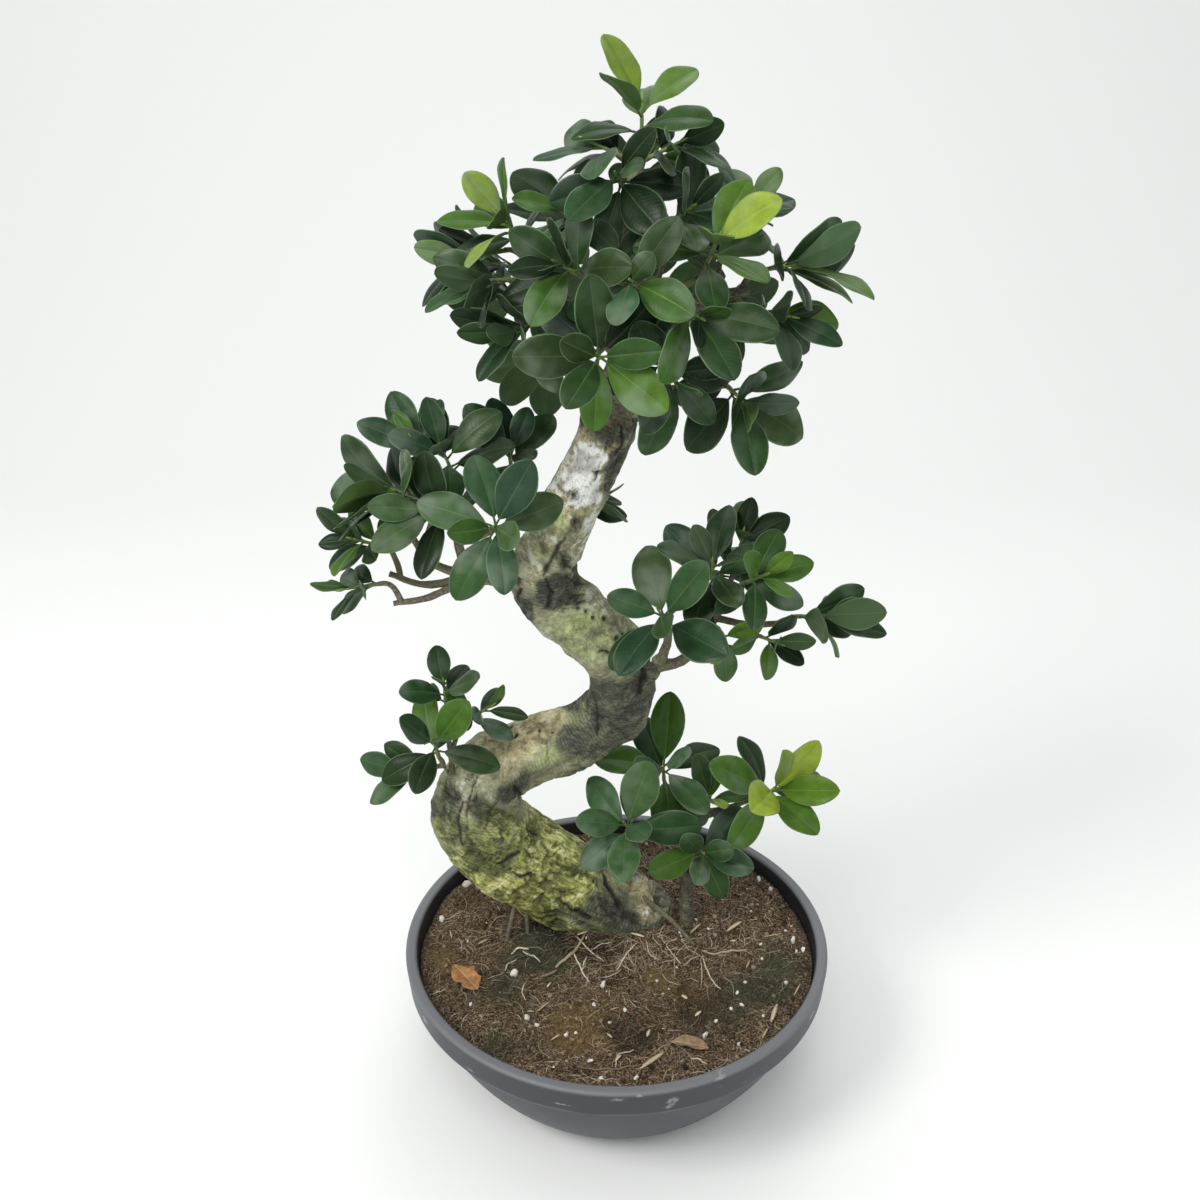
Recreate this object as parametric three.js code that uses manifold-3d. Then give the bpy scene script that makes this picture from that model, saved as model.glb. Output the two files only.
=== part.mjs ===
// Ginseng ficus (Ficus microcarpa) with an S-shaped trunk, growing in a wide round plastic bowl.
// Millimetres, +Z up. The origin is the centre of the bowl's flat base, and the plant is looked at from -Y.
import * as THREE from "three";
import { mergeVertices } from "three/addons/utils/BufferGeometryUtils.js";
import Module from "manifold-3d";

const wasm = await Module();
wasm.setup();

const BOWL = {
  height: 124,
  rimRadius: 180,
  rimWidth: 10,
  rimRound: 2.5,
  bandTaper: 2,
  insideLip: 2,
  bandHeight: 24,
  bandStep: 5,
  baseRadius: 110,
  baseEdge: 4,
  bellyRadius: 148,
  bellyHeight: 36,
  wall: 4,
  floor: 5,
  sides: 28,
  outerSteps: 4,
  innerSteps: 3,
};
const DRAIN = { count: 5, radius: 6, circle: 70, depth: 20, sides: 6 };

const SOIL = { edge: 110, mound: 9, moundSpread: 75, gap: 0.35, rings: [40, 76, 108, 138] };
const SOIL_LUMPS = { size: 1.6, across: 9, along: 11, slanted: 17 };

// Centre line of the trunk and leader: x, y, z and radius, from the root crown to the top of the plant.
const TRUNK_LINE = [
  [18, 42, 109, 35], [-14, 41, 127, 36], [-53, 40, 149, 37], [-92, 36, 184, 38], [-119, 30, 228, 38],
  [-108, 28, 266, 34], [-74, 30, 287, 29], [-35, 33, 301, 26], [-3, 33, 325, 27], [4, 28, 358, 26],
  [-5, 20, 390, 25], [-30, 12, 420, 25], [-52, 8, 445, 26], [-56, 6, 469, 24], [-45, 5, 496, 21],
  [-30, 4, 524, 20], [-19, 2, 551, 20], [-10, 0, 574, 20], [-2, 0, 596, 18], [4, 0, 625, 14],
  [6, 1, 660, 11], [7, 2, 693, 8], [8, 3, 732, 5], [11, 2, 763, 3.4],
];
const TRUNK = { sides: 12, stepsPerSpan: 1.25, knot: 0.05 };
const SWELLING = { x: 13, y: 11, xSlow: 19, z: 17, zQuick: 13, zSlow: 29 };

// Roots: each runs from inside the trunk's foot down into the soil.
const ROOTS = [
  [[16, 42, 122, 33], [20, 43, 98, 35], [22, 44, 60, 22]],
  [[28, 38, 116, 20], [42, 30, 104, 12], [54, 20, 90, 8]],
  [[0, 30, 116, 22], [-10, 10, 104, 10], [-16, -4, 92, 6]],
  [[10, 60, 118, 22], [20, 88, 108, 12], [28, 104, 94, 7]],
  [[-50, 44, 130, 22], [-66, 52, 108, 13], [-76, 60, 88, 7]],
];
const THIN_ROOTS = [
  [[-84, 26, 160, 2.2], [-90, 10, 134, 1.8], [-97, 2, 104, 1.5]],
  [[-78, 26, 156, 2.2], [-78, 14, 134, 1.8], [-77, 12, 104, 1.5]],
  [[20, 32, 140, 2.8], [50, 8, 128, 1.9], [77, -10, 104, 1.4]],
];

const ROOT_SIDES = { thick: 6, thin: 4 };

// The side shoot's own stem, which joins the trunk's foot below the soil.
const SIDE_STEM = [
  [24, 40, 92, 13], [50, 30, 94, 10], [61, 28, 112, 8.5], [62, 30, 141, 7.6], [63, 32, 166, 7],
  [64, 34, 196, 6], [63, 36, 216, 5],
];

// Branches: x, y, z and radius from inside the wood they grow from to their end.
const CROWN_AXIS = { x: 8, y: 2, farSide: 0.86 };
const LIMBS = {
  leader: [[7, 2, 693, 8], [8, 3, 732, 5], [11, 2, 762, 3.4]],
  crownLeft: [[3, 0, 628, 6], [-30, -8, 656, 4.2], [-64, -12, 682, 3]],
  crownFront: [[5, 0, 632, 6], [-3, -30, 648, 4.2], [-10, -58, 650, 3]],
  crownRight: [[7, 2, 655, 5.5], [46, -8, 668, 4], [86, -12, 676, 3]],
  crownLowRight: [[0, 0, 600, 6], [34, -18, 608, 4], [62, -32, 616, 3]],
  crownFrontRight: [[6, 2, 668, 5.5], [20, -32, 678, 4], [32, -56, 684, 3]],
  left: [[-50, 7, 462, 12], [-90, -6, 462, 6.5], [-114, -12, 466, 4.6]],
  leftUp: [[-113, -12, 465, 4.2], [-116, -20, 492, 3.4], [-120, -24, 512, 2.8]],
  leftMiddle: [[-110, -12, 466, 3.8], [-136, -17, 478, 3], [-150, -20, 500, 2.6]],
  leftLow: [[-110, -12, 465, 3.8], [-144, -10, 458, 2.8], [-171, -4, 464, 2.3]],
  leftLower: [[-112, -12, 464, 3.4], [-140, -19, 452, 2.5], [-166, -26, 450, 2.1]],
  leftBack: [[-48, 10, 476, 8], [-60, 22, 500, 4.4], [-70, 24, 520, 3]],
  right: [[2, 24, 356, 11], [22, 15, 366, 6.6], [34, 9, 385, 5]],
  rightLeft: [[33, 10, 382, 4.4], [37, 0, 402, 3.6], [38, -8, 420, 3]],
  rightLong: [[32, 10, 378, 4.8], [52, 6, 388, 4], [68, 4, 414, 3.4], [82, 3, 438, 3]],
  rightLow: [[74, 4, 424, 3.2], [98, 0, 420, 2.6], [124, -2, 422, 2.2]],
  rightLower: [[64, 5, 408, 3.2], [84, -3, 402, 2.4], [100, -6, 402, 2.1]],
  low: [[-100, 26, 262, 9], [-130, 8, 274, 4.6], [-142, 2, 294, 3.2]],
  sideLeft: [[63, 36, 212, 5], [48, 38, 226, 3.6], [43, 42, 240, 3]],
  sideFront: [[63, 34, 190, 5], [48, 22, 206, 3.6], [30, 12, 216, 3]],
  sideRight: [[63, 35, 212, 5], [76, 32, 224, 4], [100, 32, 232, 3.2]],
};
const LIMB_SIDES = 4;
const TWIG = { root: 2.4, end: 1.8, sides: 3, reach: 0.4, straight: 26 };
// Where the corners of a tube's rings start.
const TUBE_CORNER = [0.31, 0.87, 0.12];

// Leafy shoots: limb, centre x, y, z, azimuth (0 towards -Y, 90 towards +X) and elevation of the shoot's tip,
// number of leaves, leaf length, turn of the first leaf about the shoot, and how much new growth it carries.
const SHOOTS = {
  crown_top: ["leader", 13, 0, 779, 5, 86, 7, 48, 143, 0.9],
  crown_leader_left: ["leader", -8, -6, 764, -86, 24, 7, 44, 20, 0.1],
  crown_leader_right: ["leader", 26, -8, 764, 60, 26, 7, 41, 190, 0.1],
  crown_leader_front: ["leader", -2, -24, 748, -10, 22, 7, 45, 175, 0],
  crown_leader_back: ["leader", 14, 28, 746, 170, 24, 6, 42, 40, 0.1],
  crown_high_left: ["leader", -32, -22, 724, -46, 34, 8, 44, 10, 0.2],
  crown_high_right: ["leader", 36, -24, 724, 44, 34, 8, 44, 70, 0.2],
  crown_left_top: ["crownLeft", -70, -13, 714, -56, 46, 9, 45, 30, 0.7],
  crown_left_end: ["crownLeft", -92, 0, 698, -90, -8, 9, 48, 30, 0.3],
  crown_left_middle: ["crownLeft", -82, -32, 686, -70, 2, 9, 47, 90, 0],
  crown_left_low: ["crownLeft", -60, -38, 658, -58, -14, 9, 47, 85, 0.3],
  crown_front_left: ["crownFront", -32, -62, 698, -36, 26, 8, 45, 15, 0],
  crown_front: ["crownFront", -15, -86, 650, 2, 8, 9, 50, 35, 0.4],
  crown_front_low: ["crownLowRight", 30, -68, 636, 16, -20, 8, 48, 110, 0],
  crown_right_low: ["crownLowRight", 76, -46, 614, 34, -20, 9, 50, 45, 0.3],
  crown_right_front: ["crownFrontRight", 55, -58, 706, 22, 52, 8, 48, 0, 0.8],
  crown_middle: ["crownFrontRight", 6, -78, 694, -8, 16, 8, 46, 60, 0],
  crown_front_right: ["crownFrontRight", 42, -84, 676, 20, 0, 9, 47, 80, 0],
  crown_right_end: ["crownRight", 107, -14, 692, 76, 12, 10, 53, 40, 0.3],
  crown_right_middle: ["crownRight", 98, -38, 666, 62, -4, 9, 47, 50, 0.2],
  crown_right_top: ["crownRight", 80, 4, 718, 54, 56, 8, 43, 35, 0.2],
  left_front: ["leftUp", -86, -60, 524, 0, 24, 8, 50, 8, 0.4],
  left_end: ["leftMiddle", -154, -20, 534, -78, 24, 11, 54, 60, 0.4],
  left_middle: ["leftUp", -126, -46, 530, -36, 22, 9, 50, 70, 0.1],
  left_top: ["leftUp", -124, 4, 548, -34, 62, 9, 50, 35, 0.1],
  left_back: ["leftBack", -80, 22, 541, 14, 66, 8, 48, 60, 0.1],
  left_low_end: ["leftLow", -184, -6, 490, -54, 26, 7, 37, 40, 0.1],
  left_lowest: ["leftLower", -186, -26, 464, -64, 2, 7, 32, 55, 0.2],
  left_behind: ["leftBack", -30, 48, 500, 105, 12, 6, 38, 20, 0.4],
  right_left: ["rightLeft", 34, -26, 436, -30, 50, 8, 56, 0, 0.2],
  right_top: ["rightLong", 70, -4, 464, -8, 60, 9, 46, 28, 0.4],
  right_high: ["rightLong", 92, 18, 476, 10, 66, 7, 38, 40, 0.1],
  right_middle: ["rightLong", 99, -18, 466, 36, 34, 8, 40, 65, 0.7],
  right_end: ["rightLow", 146, -2, 428, 84, 4, 9, 48, 35, 0.3],
  right_low: ["rightLower", 112, -12, 414, 30, 10, 6, 32, 80, 0.3],
  right_under: ["rightLong", 77, -22, 422, 6, 6, 4, 35, 50, 1],
  right_back: ["rightLong", 84, 36, 452, 150, 30, 7, 42, 80, 0.1],
  low_front: ["low", -144, -10, 315, -4, 56, 8, 46, -20, 0.3],
  low_top: ["low", -137, 10, 352, 4, 70, 7, 38, 35, 0.2],
  low_right: ["low", -112, 14, 333, 66, 40, 6, 32, 0, 0.3],
  low_under: ["low", -164, -6, 292, -64, 4, 6, 42, 50, 0],
  side_front: ["sideFront", 9, -2, 234, -20, 50, 8, 54, 25, 0.1],
  side_left: ["sideLeft", 40, 46, 258, -6, 58, 8, 56, 35, 0],
  side_middle: ["sideRight", 78, 40, 230, 10, 56, 7, 38, 70, 0.5],
  side_right: ["sideRight", 128, 32, 247, 30, 42, 9, 54, -28, 0.9],
  side_low: ["sideFront", 70, 2, 208, 4, 30, 8, 44, 55, 0.2],
  left_rise: ["leftMiddle", -143, 8, 554, -34, 56, 9, 45, 20, 0.2],
};
// The far side of the crown repeats these near shoots, turned half round its axis.
const FAR_SHOOTS = [
  "crown_left_low", "crown_front_left", "crown_front", "crown_right_low",
  "crown_right_front", "crown_front_right", "crown_right_end", "crown_right_middle",
];
const FAR = { drop: 6, turn: 70, fewer: 1, freshness: 0.4 };

const STEM = { length: 28, below: 0.5, root: 1.8, tip: 0.8, sides: 3, seat: 0.4, gap: 0.35, leafy: [0.2, 0.9] };
const LEAF = {
  widthShare: 0.44,
  thickness: 0.8,
  stations: [0.36, 0.8],
  widest: 0.58,
  wedge: 1.1,
  corner: 1.05,
  spreadLow: 82,
  spreadTop: 30,
  bendLow: 42,
  bendTop: 18,
  lightPull: 0.35,
  facePull: 0.3,
  levelling: 0.75,
};
// A leaf's length along its shoot, longest a little above the middle; the last leaf of an old shoot is shorter.
const LEAF_SIZE = { least: 0.92, gain: 0.2, start: 0.15, reach: 0.75, last: 0.8, lastFrom: 0.85, young: 0.8 };
// How far chance shifts a leaf: turn, tilt and roll in degrees, the others as shares.
const WOBBLE = { turn: 22, tilt: 22, roll: 56, length: 0.22, width: 0.2, bend: 1 };
const CHANCE = { shoot: 97, leaf: 7, turn: 1, tilt: 2, length: 3, width: 4, bend: 5, roll: 6 };
const GOLDEN_ANGLE = 137.5;
// What a leaf tries until it is clear of its neighbours: turn and tilt in degrees, then share of its length.
const TRIES = [
  [0, 0, 1], [11, 0, 1], [-11, 0, 1], [0, 10, 1], [0, -10, 1], [20, 6, 1], [-20, 6, 1], [20, -8, 0.93],
  [-20, -8, 0.93], [0, 20, 0.9], [0, -20, 0.9], [32, 0, 0.88], [-32, 0, 0.88], [40, 12, 0.82], [-40, 12, 0.82],
  [0, -30, 0.8], [16, 0, 0.66], [-16, 0, 0.66], [0, 0, 0.55],
];
const CLEAR = { blade: 1.3, edge: 1.6, wood: 0.9, bowlTop: 132, bowlSide: 186, step: 3, middle: 0.55 };

const FALLEN_LEAVES = {
  fallen_leaf_orange: { x: -126, y: -46, turn: 40, length: 34, width: 22, material: "orangeLeaf" },
  fallen_leaf_brown: { x: 56, y: -120, turn: 82, length: 30, width: 13, material: "brownLeaf" },
};

const FALLEN_BEND = 0.2;

// Corners closer together than these are merged, in a plain shape and after a join.
const SAME_PLACE = 1e-3;
const SMALLEST_EDGE = 0.2;

const MATERIAL = {
  bowl: { color: 0x53555c, roughness: 0.5 },
  soil: { color: 0x4a3527, roughness: 0.95 },
  bark: { color: 0x8a8463, roughness: 0.85 },
  leaf: { color: 0x2c5128, roughness: 0.4 },
  youngLeaf: { color: 0x6fa52e, roughness: 0.4 },
  orangeLeaf: { color: 0xb06a38, roughness: 0.9 },
  brownLeaf: { color: 0x8a6a52, roughness: 0.9 },
};
const YOUNG_FROM = 0.6;

const vector = (x, y, z) => new THREE.Vector3(x, y, z);
const UP = vector(0, 0, 1);
const VIEWER = vector(0, -1, 0);
const radians = THREE.MathUtils.degToRad;
const mix = THREE.MathUtils.lerp;

// A number from 0 to 1 that looks random and is the same on every run.
function chance(n) {
  const s = Math.sin(n * 12.9898 + 78.233) * 43758.5453;
  return s - Math.floor(s);
}

// A closed solid from corner points and triangles of their indices.
function solidOf(points, triangles) {
  const vertProperties = new Float32Array(points.flatMap((p) => [p.x, p.y, p.z]));
  const triVerts = new Uint32Array(triangles.flat());
  return new wasm.Manifold(new wasm.Mesh({ numProp: 3, vertProperties, triVerts }));
}

function solidOfGeometry(geometry) {
  geometry.deleteAttribute("normal");
  geometry.deleteAttribute("uv");
  const merged = mergeVertices(geometry, SAME_PLACE);
  return new wasm.Manifold(
    new wasm.Mesh({
      numProp: 3,
      vertProperties: merged.attributes.position.array,
      triVerts: new Uint32Array(merged.index.array),
    }),
  );
}

function meshOf(name, solid, material) {
  const { vertProperties, triVerts, numProp, numVert } = solid.asOriginal().simplify(SMALLEST_EDGE).getMesh();
  const position = new Float32Array(numVert * 3);
  for (let i = 0; i < numVert; i++) position.set(vertProperties.subarray(i * numProp, i * numProp + 3), i * 3);
  const geometry = new THREE.BufferGeometry();
  geometry.setAttribute("position", new THREE.BufferAttribute(position, 3));
  geometry.setIndex(new THREE.BufferAttribute(new Uint32Array(triVerts), 1));
  geometry.computeVertexNormals();
  const finish = new THREE.MeshStandardMaterial({ ...MATERIAL[material], metalness: 0 });
  const mesh = new THREE.Mesh(geometry, finish);
  mesh.name = name;
  return mesh;
}

// Points and radii along a line of [x, y, z, radius] rows, a number of steps to each span.
function along(line, stepsPerSpan) {
  const curve = new THREE.CatmullRomCurve3(line.map(([x, y, z]) => vector(x, y, z)), false, "catmullrom", 0.5);
  const spans = line.length - 1;
  const count = Math.max(1, Math.round(spans * stepsPerSpan));
  return Array.from({ length: count + 1 }, (_, i) => {
    const t = i / count;
    const span = Math.min(Math.floor(t * spans), spans - 1);
    return { p: curve.getPoint(t), r: mix(line[span][3], line[span + 1][3], t * spans - span) };
  });
}

// Balls close together along a line, which stand for the wood when leaves look for room.
function ballsAlong(line) {
  return line.slice(1).flatMap((row, i) => {
    const [from, to] = [vector(...line[i]), vector(...row)];
    const count = Math.ceil(from.distanceTo(to) / CLEAR.step);
    return Array.from({ length: count + 1 }, (_, k) => ({
      p: from.clone().lerp(to, k / count),
      r: mix(line[i][3], row[3], k / count),
    }));
  });
}

// Low swellings of the bark, by place.
function swelling(p) {
  const broad = Math.sin(p.x / SWELLING.x + p.z / SWELLING.z);
  const knots = Math.sin(p.y / SWELLING.y - p.z / SWELLING.zQuick + 2);
  return 1 + TRUNK.knot * (broad + knots * Math.sin(p.x / SWELLING.xSlow + p.z / SWELLING.zSlow + 1));
}

// A closed tube through rings of centre and radius; the last ring can be turned to face endDirection.
function tube(rings, sides, { grow = 0, rough = false, endDirection = null } = {}) {
  const last = rings.length - 1;
  const tangents = rings.map((ring, i) =>
    rings[Math.min(i + 1, last)].p.clone().sub(rings[Math.max(i - 1, 0)].p).normalize(),
  );
  if (endDirection) tangents[last] = endDirection;
  let normal = vector(...TUBE_CORNER);
  const points = rings.flatMap(({ p, r }, i) => {
    normal = normal.clone().addScaledVector(tangents[i], -normal.dot(tangents[i])).normalize();
    const across = tangents[i].clone().cross(normal);
    return Array.from({ length: sides }, (_, k) => {
      const turn = (2 * Math.PI * k) / sides;
      const out = normal.clone().multiplyScalar(Math.cos(turn)).addScaledVector(across, Math.sin(turn));
      const skin = p.clone().addScaledVector(out, r);
      return p.clone().addScaledVector(out, (rough ? r * swelling(skin) : r) + grow);
    });
  });
  const triangles = [];
  for (let i = 0; i < last; i++)
    for (let k = 0; k < sides; k++) {
      const [a, b] = [i * sides + k, i * sides + ((k + 1) % sides)];
      triangles.push([a, b, b + sides], [a, b + sides, a + sides]);
    }
  for (let k = 1; k < sides - 1; k++) {
    triangles.push([0, k + 1, k]);
    triangles.push([last * sides, last * sides + k, last * sides + k + 1]);
  }
  return solidOf(points, triangles);
}

// The bowl's inner side as radius and height, from the floor to the rim.
function bowlInside(offset) {
  const curve = new THREE.QuadraticBezierCurve(
    new THREE.Vector2(BOWL.baseRadius - BOWL.wall - offset, BOWL.floor + offset),
    new THREE.Vector2(BOWL.bellyRadius - BOWL.wall - offset, BOWL.bellyHeight + offset / 2),
    new THREE.Vector2(BOWL.rimRadius - BOWL.rimWidth - BOWL.insideLip - offset, BOWL.height - BOWL.bandHeight),
  );
  return curve.getPoints(BOWL.innerSteps);
}

function makeBowl() {
  const rim = BOWL.rimRadius;
  const inner = rim - BOWL.rimWidth;
  const bandFoot = BOWL.height - BOWL.bandHeight;
  const belly = new THREE.QuadraticBezierCurve(
    new THREE.Vector2(BOWL.baseRadius, BOWL.baseEdge),
    new THREE.Vector2(BOWL.bellyRadius, BOWL.bellyHeight),
    new THREE.Vector2(rim - BOWL.bandTaper - BOWL.bandStep, bandFoot),
  );
  const profile = [
    new THREE.Vector2(0, 0),
    new THREE.Vector2(BOWL.baseRadius - BOWL.baseEdge, 0),
    ...belly.getPoints(BOWL.outerSteps),
    new THREE.Vector2(rim - BOWL.bandTaper, bandFoot),
    new THREE.Vector2(rim, BOWL.height - BOWL.rimRound),
    new THREE.Vector2(rim - BOWL.rimRound, BOWL.height),
    new THREE.Vector2(inner, BOWL.height - BOWL.rimRound),
    ...bowlInside(0).reverse(),
    new THREE.Vector2(0, BOWL.floor),
  ];
  const shell = solidOfGeometry(new THREE.LatheGeometry(profile, BOWL.sides).rotateX(Math.PI / 2));
  const drains = Array.from({ length: DRAIN.count }, (_, i) => {
    const turn = (2 * Math.PI * i) / DRAIN.count;
    const [x, y] = [DRAIN.circle * Math.sin(turn), -DRAIN.circle * Math.cos(turn)];
    const drill = new THREE.CylinderGeometry(DRAIN.radius, DRAIN.radius, DRAIN.depth, DRAIN.sides);
    return solidOfGeometry(drill.rotateX(Math.PI / 2).translate(x, y, 0));
  });
  return meshOf("bowl", shell.subtract(wasm.Manifold.union(drains)), "bowl");
}

// Height of the soil: a low mound round the trunk's foot with small lumps.
function soilHeight(x, y) {
  const away = Math.hypot(x - TRUNK_LINE[0][0], y - TRUNK_LINE[0][1]);
  const { size, across, along, slanted } = SOIL_LUMPS;
  const lumps = size * (Math.sin(x / across) * Math.cos(y / along + 1) + Math.sin((x + y) / slanted));
  return SOIL.edge + SOIL.mound * Math.exp(-((away / SOIL.moundSpread) ** 2)) + lumps;
}

function makeSoil(buriedWood) {
  const side = bowlInside(SOIL.gap).reverse();
  const rings = [
    ...SOIL.rings.map((r) => ({ r, z: null })),
    { r: side[0].x, z: SOIL.edge },
    ...side.map(({ x, y }) => ({ r: x, z: y })),
  ];
  const n = BOWL.sides;
  const points = rings.flatMap(({ r, z }) =>
    Array.from({ length: n }, (_, k) => {
      const turn = (2 * Math.PI * k) / n;
      const [x, y] = [r * Math.sin(turn), -r * Math.cos(turn)];
      return vector(x, y, z ?? soilHeight(x, y));
    }),
  );
  const top = points.push(vector(0, 0, soilHeight(0, 0))) - 1;
  const bottom = points.push(vector(0, 0, side[side.length - 1].y)) - 1;
  const triangles = [];
  for (let k = 0; k < n; k++) {
    const next = (k + 1) % n;
    triangles.push([top, k, next]);
    for (let j = 0; j < rings.length - 1; j++) {
      const [a, b, c, d] = [j * n + k, j * n + next, (j + 1) * n + next, (j + 1) * n + k];
      triangles.push([a, d, c], [a, c, b]);
    }
    triangles.push([bottom, (rings.length - 1) * n + next, (rings.length - 1) * n + k]);
  }
  return meshOf("soil", solidOf(points, triangles).subtract(buriedWood), "soil");
}

function shootDirection(azimuth, elevation) {
  const [a, e] = [radians(azimuth), radians(elevation)];
  return vector(Math.sin(a) * Math.cos(e), -Math.cos(a) * Math.cos(e), Math.sin(e));
}

// Every shoot with its place worked out, the near ones first and then the far side of the crown.
function allShoots() {
  const near = Object.entries(SHOOTS).map(
    ([name, [limb, x, y, z, azimuth, elevation, leaves, length, turn, freshness]]) => ({
      name, limb, at: vector(x, y, z), azimuth, elevation, leaves, length, turn, freshness, far: false,
    }),
  );
  const far = FAR_SHOOTS.map((name) => {
    const shoot = near.find((s) => s.name === name);
    const at = vector(
      CROWN_AXIS.x - (shoot.at.x - CROWN_AXIS.x) * CROWN_AXIS.farSide,
      CROWN_AXIS.y - (shoot.at.y - CROWN_AXIS.y),
      shoot.at.z - FAR.drop,
    );
    return {
      ...shoot, name: name + "_far", at, azimuth: shoot.azimuth + 180, turn: shoot.turn + FAR.turn,
      leaves: shoot.leaves - FAR.fewer, freshness: shoot.freshness * FAR.freshness, far: true,
    };
  });
  return [...near, ...far].map((shoot, number) => {
    const axis = shootDirection(shoot.azimuth, shoot.elevation);
    const foot = shoot.at.clone().addScaledVector(axis, -STEM.length * STEM.below);
    return { ...shoot, number, axis, foot };
  });
}

// A limb's line, turned half round the crown's axis for the far side.
function limbLine(name, far) {
  if (!far) return LIMBS[name];
  const { x: cx, y: cy, farSide } = CROWN_AXIS;
  return LIMBS[name].map(([x, y, z, r], i) =>
    i === 0 ? [x, y, z, r] : [cx - (x - cx) * farSide, 2 * cy - y, z - FAR.drop, r],
  );
}

const farLimbNames = (shoots) => [...new Set(shoots.filter((shoot) => shoot.far).map((shoot) => shoot.limb))];

// A twig from the nearest stretch of its limb to the foot of its shoot, as [x, y, z, radius] rows.
function twigLine(shoot) {
  const stretch = ballsAlong(limbLine(shoot.limb, shoot.far));
  const nearest = stretch.reduce((best, ball, i) => {
    const reach = ball.p.distanceTo(shoot.foot);
    return reach < best.reach ? { reach, i } : best;
  }, { reach: Infinity, i: 0 });
  const back = Math.round((nearest.reach * TWIG.reach) / CLEAR.step);
  const from = stretch[Math.max(0, nearest.i - back)].p;
  const reach = from.distanceTo(shoot.foot);
  const curve = new THREE.QuadraticBezierCurve3(
    from,
    shoot.foot.clone().addScaledVector(shoot.axis, -reach * TWIG.reach),
    shoot.foot,
  );
  const steps = reach < TWIG.straight ? 1 : 2;
  return Array.from({ length: steps + 1 }, (_, i) => {
    const p = curve.getPoint(i / steps);
    return [p.x, p.y, p.z, mix(TWIG.root, TWIG.end, i / steps)];
  });
}

const ringsOf = (line) => line.map(([x, y, z, r]) => ({ p: vector(x, y, z), r }));

function makeFoot(grow) {
  return [
    tube(along(TRUNK_LINE, TRUNK.stepsPerSpan), TRUNK.sides, { grow, rough: true }),
    tube(along(SIDE_STEM, 1), ROOT_SIDES.thick, { grow }),
    ...ROOTS.map((line) => tube(along(line, 1), ROOT_SIDES.thick, { grow })),
    ...THIN_ROOTS.map((line) => tube(along(line, 1), ROOT_SIDES.thin, { grow })),
  ];
}

function makeWood(shoots) {
  const limbs = Object.keys(LIMBS)
    .filter((name) => name !== "leader")
    .map((name) => tube(along(LIMBS[name], 1), LIMB_SIDES));
  const farLimbs = farLimbNames(shoots).map((name) => tube(along(limbLine(name, true), 1), LIMB_SIDES));
  const twigs = shoots.map((shoot) =>
    tube(ringsOf(twigLine(shoot)), TWIG.sides, { endDirection: shoot.axis }),
  );
  return wasm.Manifold.union([...makeFoot(0), ...limbs, ...farLimbs, ...twigs]);
}

// Half the leaf's width as a share of its largest, from stalk at 0 to tip at 1: a wedge, then a round end.
function leafOutline(t) {
  if (t < LEAF.widest) return Math.sin((Math.PI / 2) * (t / LEAF.widest)) ** LEAF.wedge;
  return Math.sqrt(1 - ((t - LEAF.widest) / (1 - LEAF.widest)) ** 2);
}

// A leaf's middle surface: a flat-sided outline bent down along its length.
function leafAt(root, direction, upper, length, width, bend) {
  const side = direction.clone().cross(upper);
  const place = (t) => {
    const turn = bend * t;
    const out = length * (Math.sin(turn) / bend);
    const drop = (length * (1 - Math.cos(turn))) / bend;
    const p = root.clone().addScaledVector(direction, out).addScaledVector(upper, -drop);
    const face = upper.clone().multiplyScalar(Math.cos(turn)).addScaledVector(direction, Math.sin(turn));
    return { p, face, half: (width / 2) * leafOutline(t) * LEAF.corner };
  };
  const stations = LEAF.stations.map(place);
  const [base, tip] = [place(0), place(1)];
  const left = stations.map(({ p, face, half }) => ({ p: p.clone().addScaledVector(side, -half), face }));
  const right = stations.map(({ p, face, half }) => ({ p: p.clone().addScaledVector(side, half), face }));
  return [base, ...left, tip, ...right.reverse()];
}

// Corners run from the stalk up the left side to the tip and back down the right.
const LEAF_FACES = [[0, 5, 1], [1, 5, 4], [1, 4, 2], [2, 4, 3]];
const LEAF_EDGES = [[0, 1], [1, 2], [2, 3], [3, 4], [4, 5], [5, 0], [1, 5], [1, 4], [2, 4]];
const LEAF_TIP = 3;

// What the search for room needs to know of a leaf: corners, points along its edges, middle, reach and faces.
function outlineOf(corners) {
  const points = corners.map(({ p }) => p);
  const probes = LEAF_EDGES.flatMap(([i, j]) => {
    const count = Math.ceil(points[i].distanceTo(points[j]) / CLEAR.step);
    return Array.from({ length: count }, (_, k) => ({
      p: points[i].clone().lerp(points[j], k / count),
      atRoot: i === 0 || j === 0,
    }));
  });
  const middle = points[0].clone().lerp(points[LEAF_TIP], CLEAR.middle);
  const reach = Math.max(...points.map((p) => p.distanceTo(middle)));
  const faces = LEAF_FACES.map((face) => {
    const [a, b, c] = face.map((i) => points[i]);
    const normal = b.clone().sub(a).cross(c.clone().sub(a)).normalize();
    const sides = [[a, b], [b, c], [c, a]].map(([from, to]) => ({
      from,
      inward: normal.clone().cross(to.clone().sub(from)).normalize(),
    }));
    return { a, normal, sides };
  });
  return { points, probes, middle, reach, faces };
}

const height = (face, p) => (p.x - face.a.x) * face.normal.x + (p.y - face.a.y) * face.normal.y
  + (p.z - face.a.z) * face.normal.z;
const within = (face, p, margin) =>
  face.sides.every(
    ({ from, inward }) =>
      (p.x - from.x) * inward.x + (p.y - from.y) * inward.y + (p.z - from.z) * inward.z >= -margin,
  );

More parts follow.
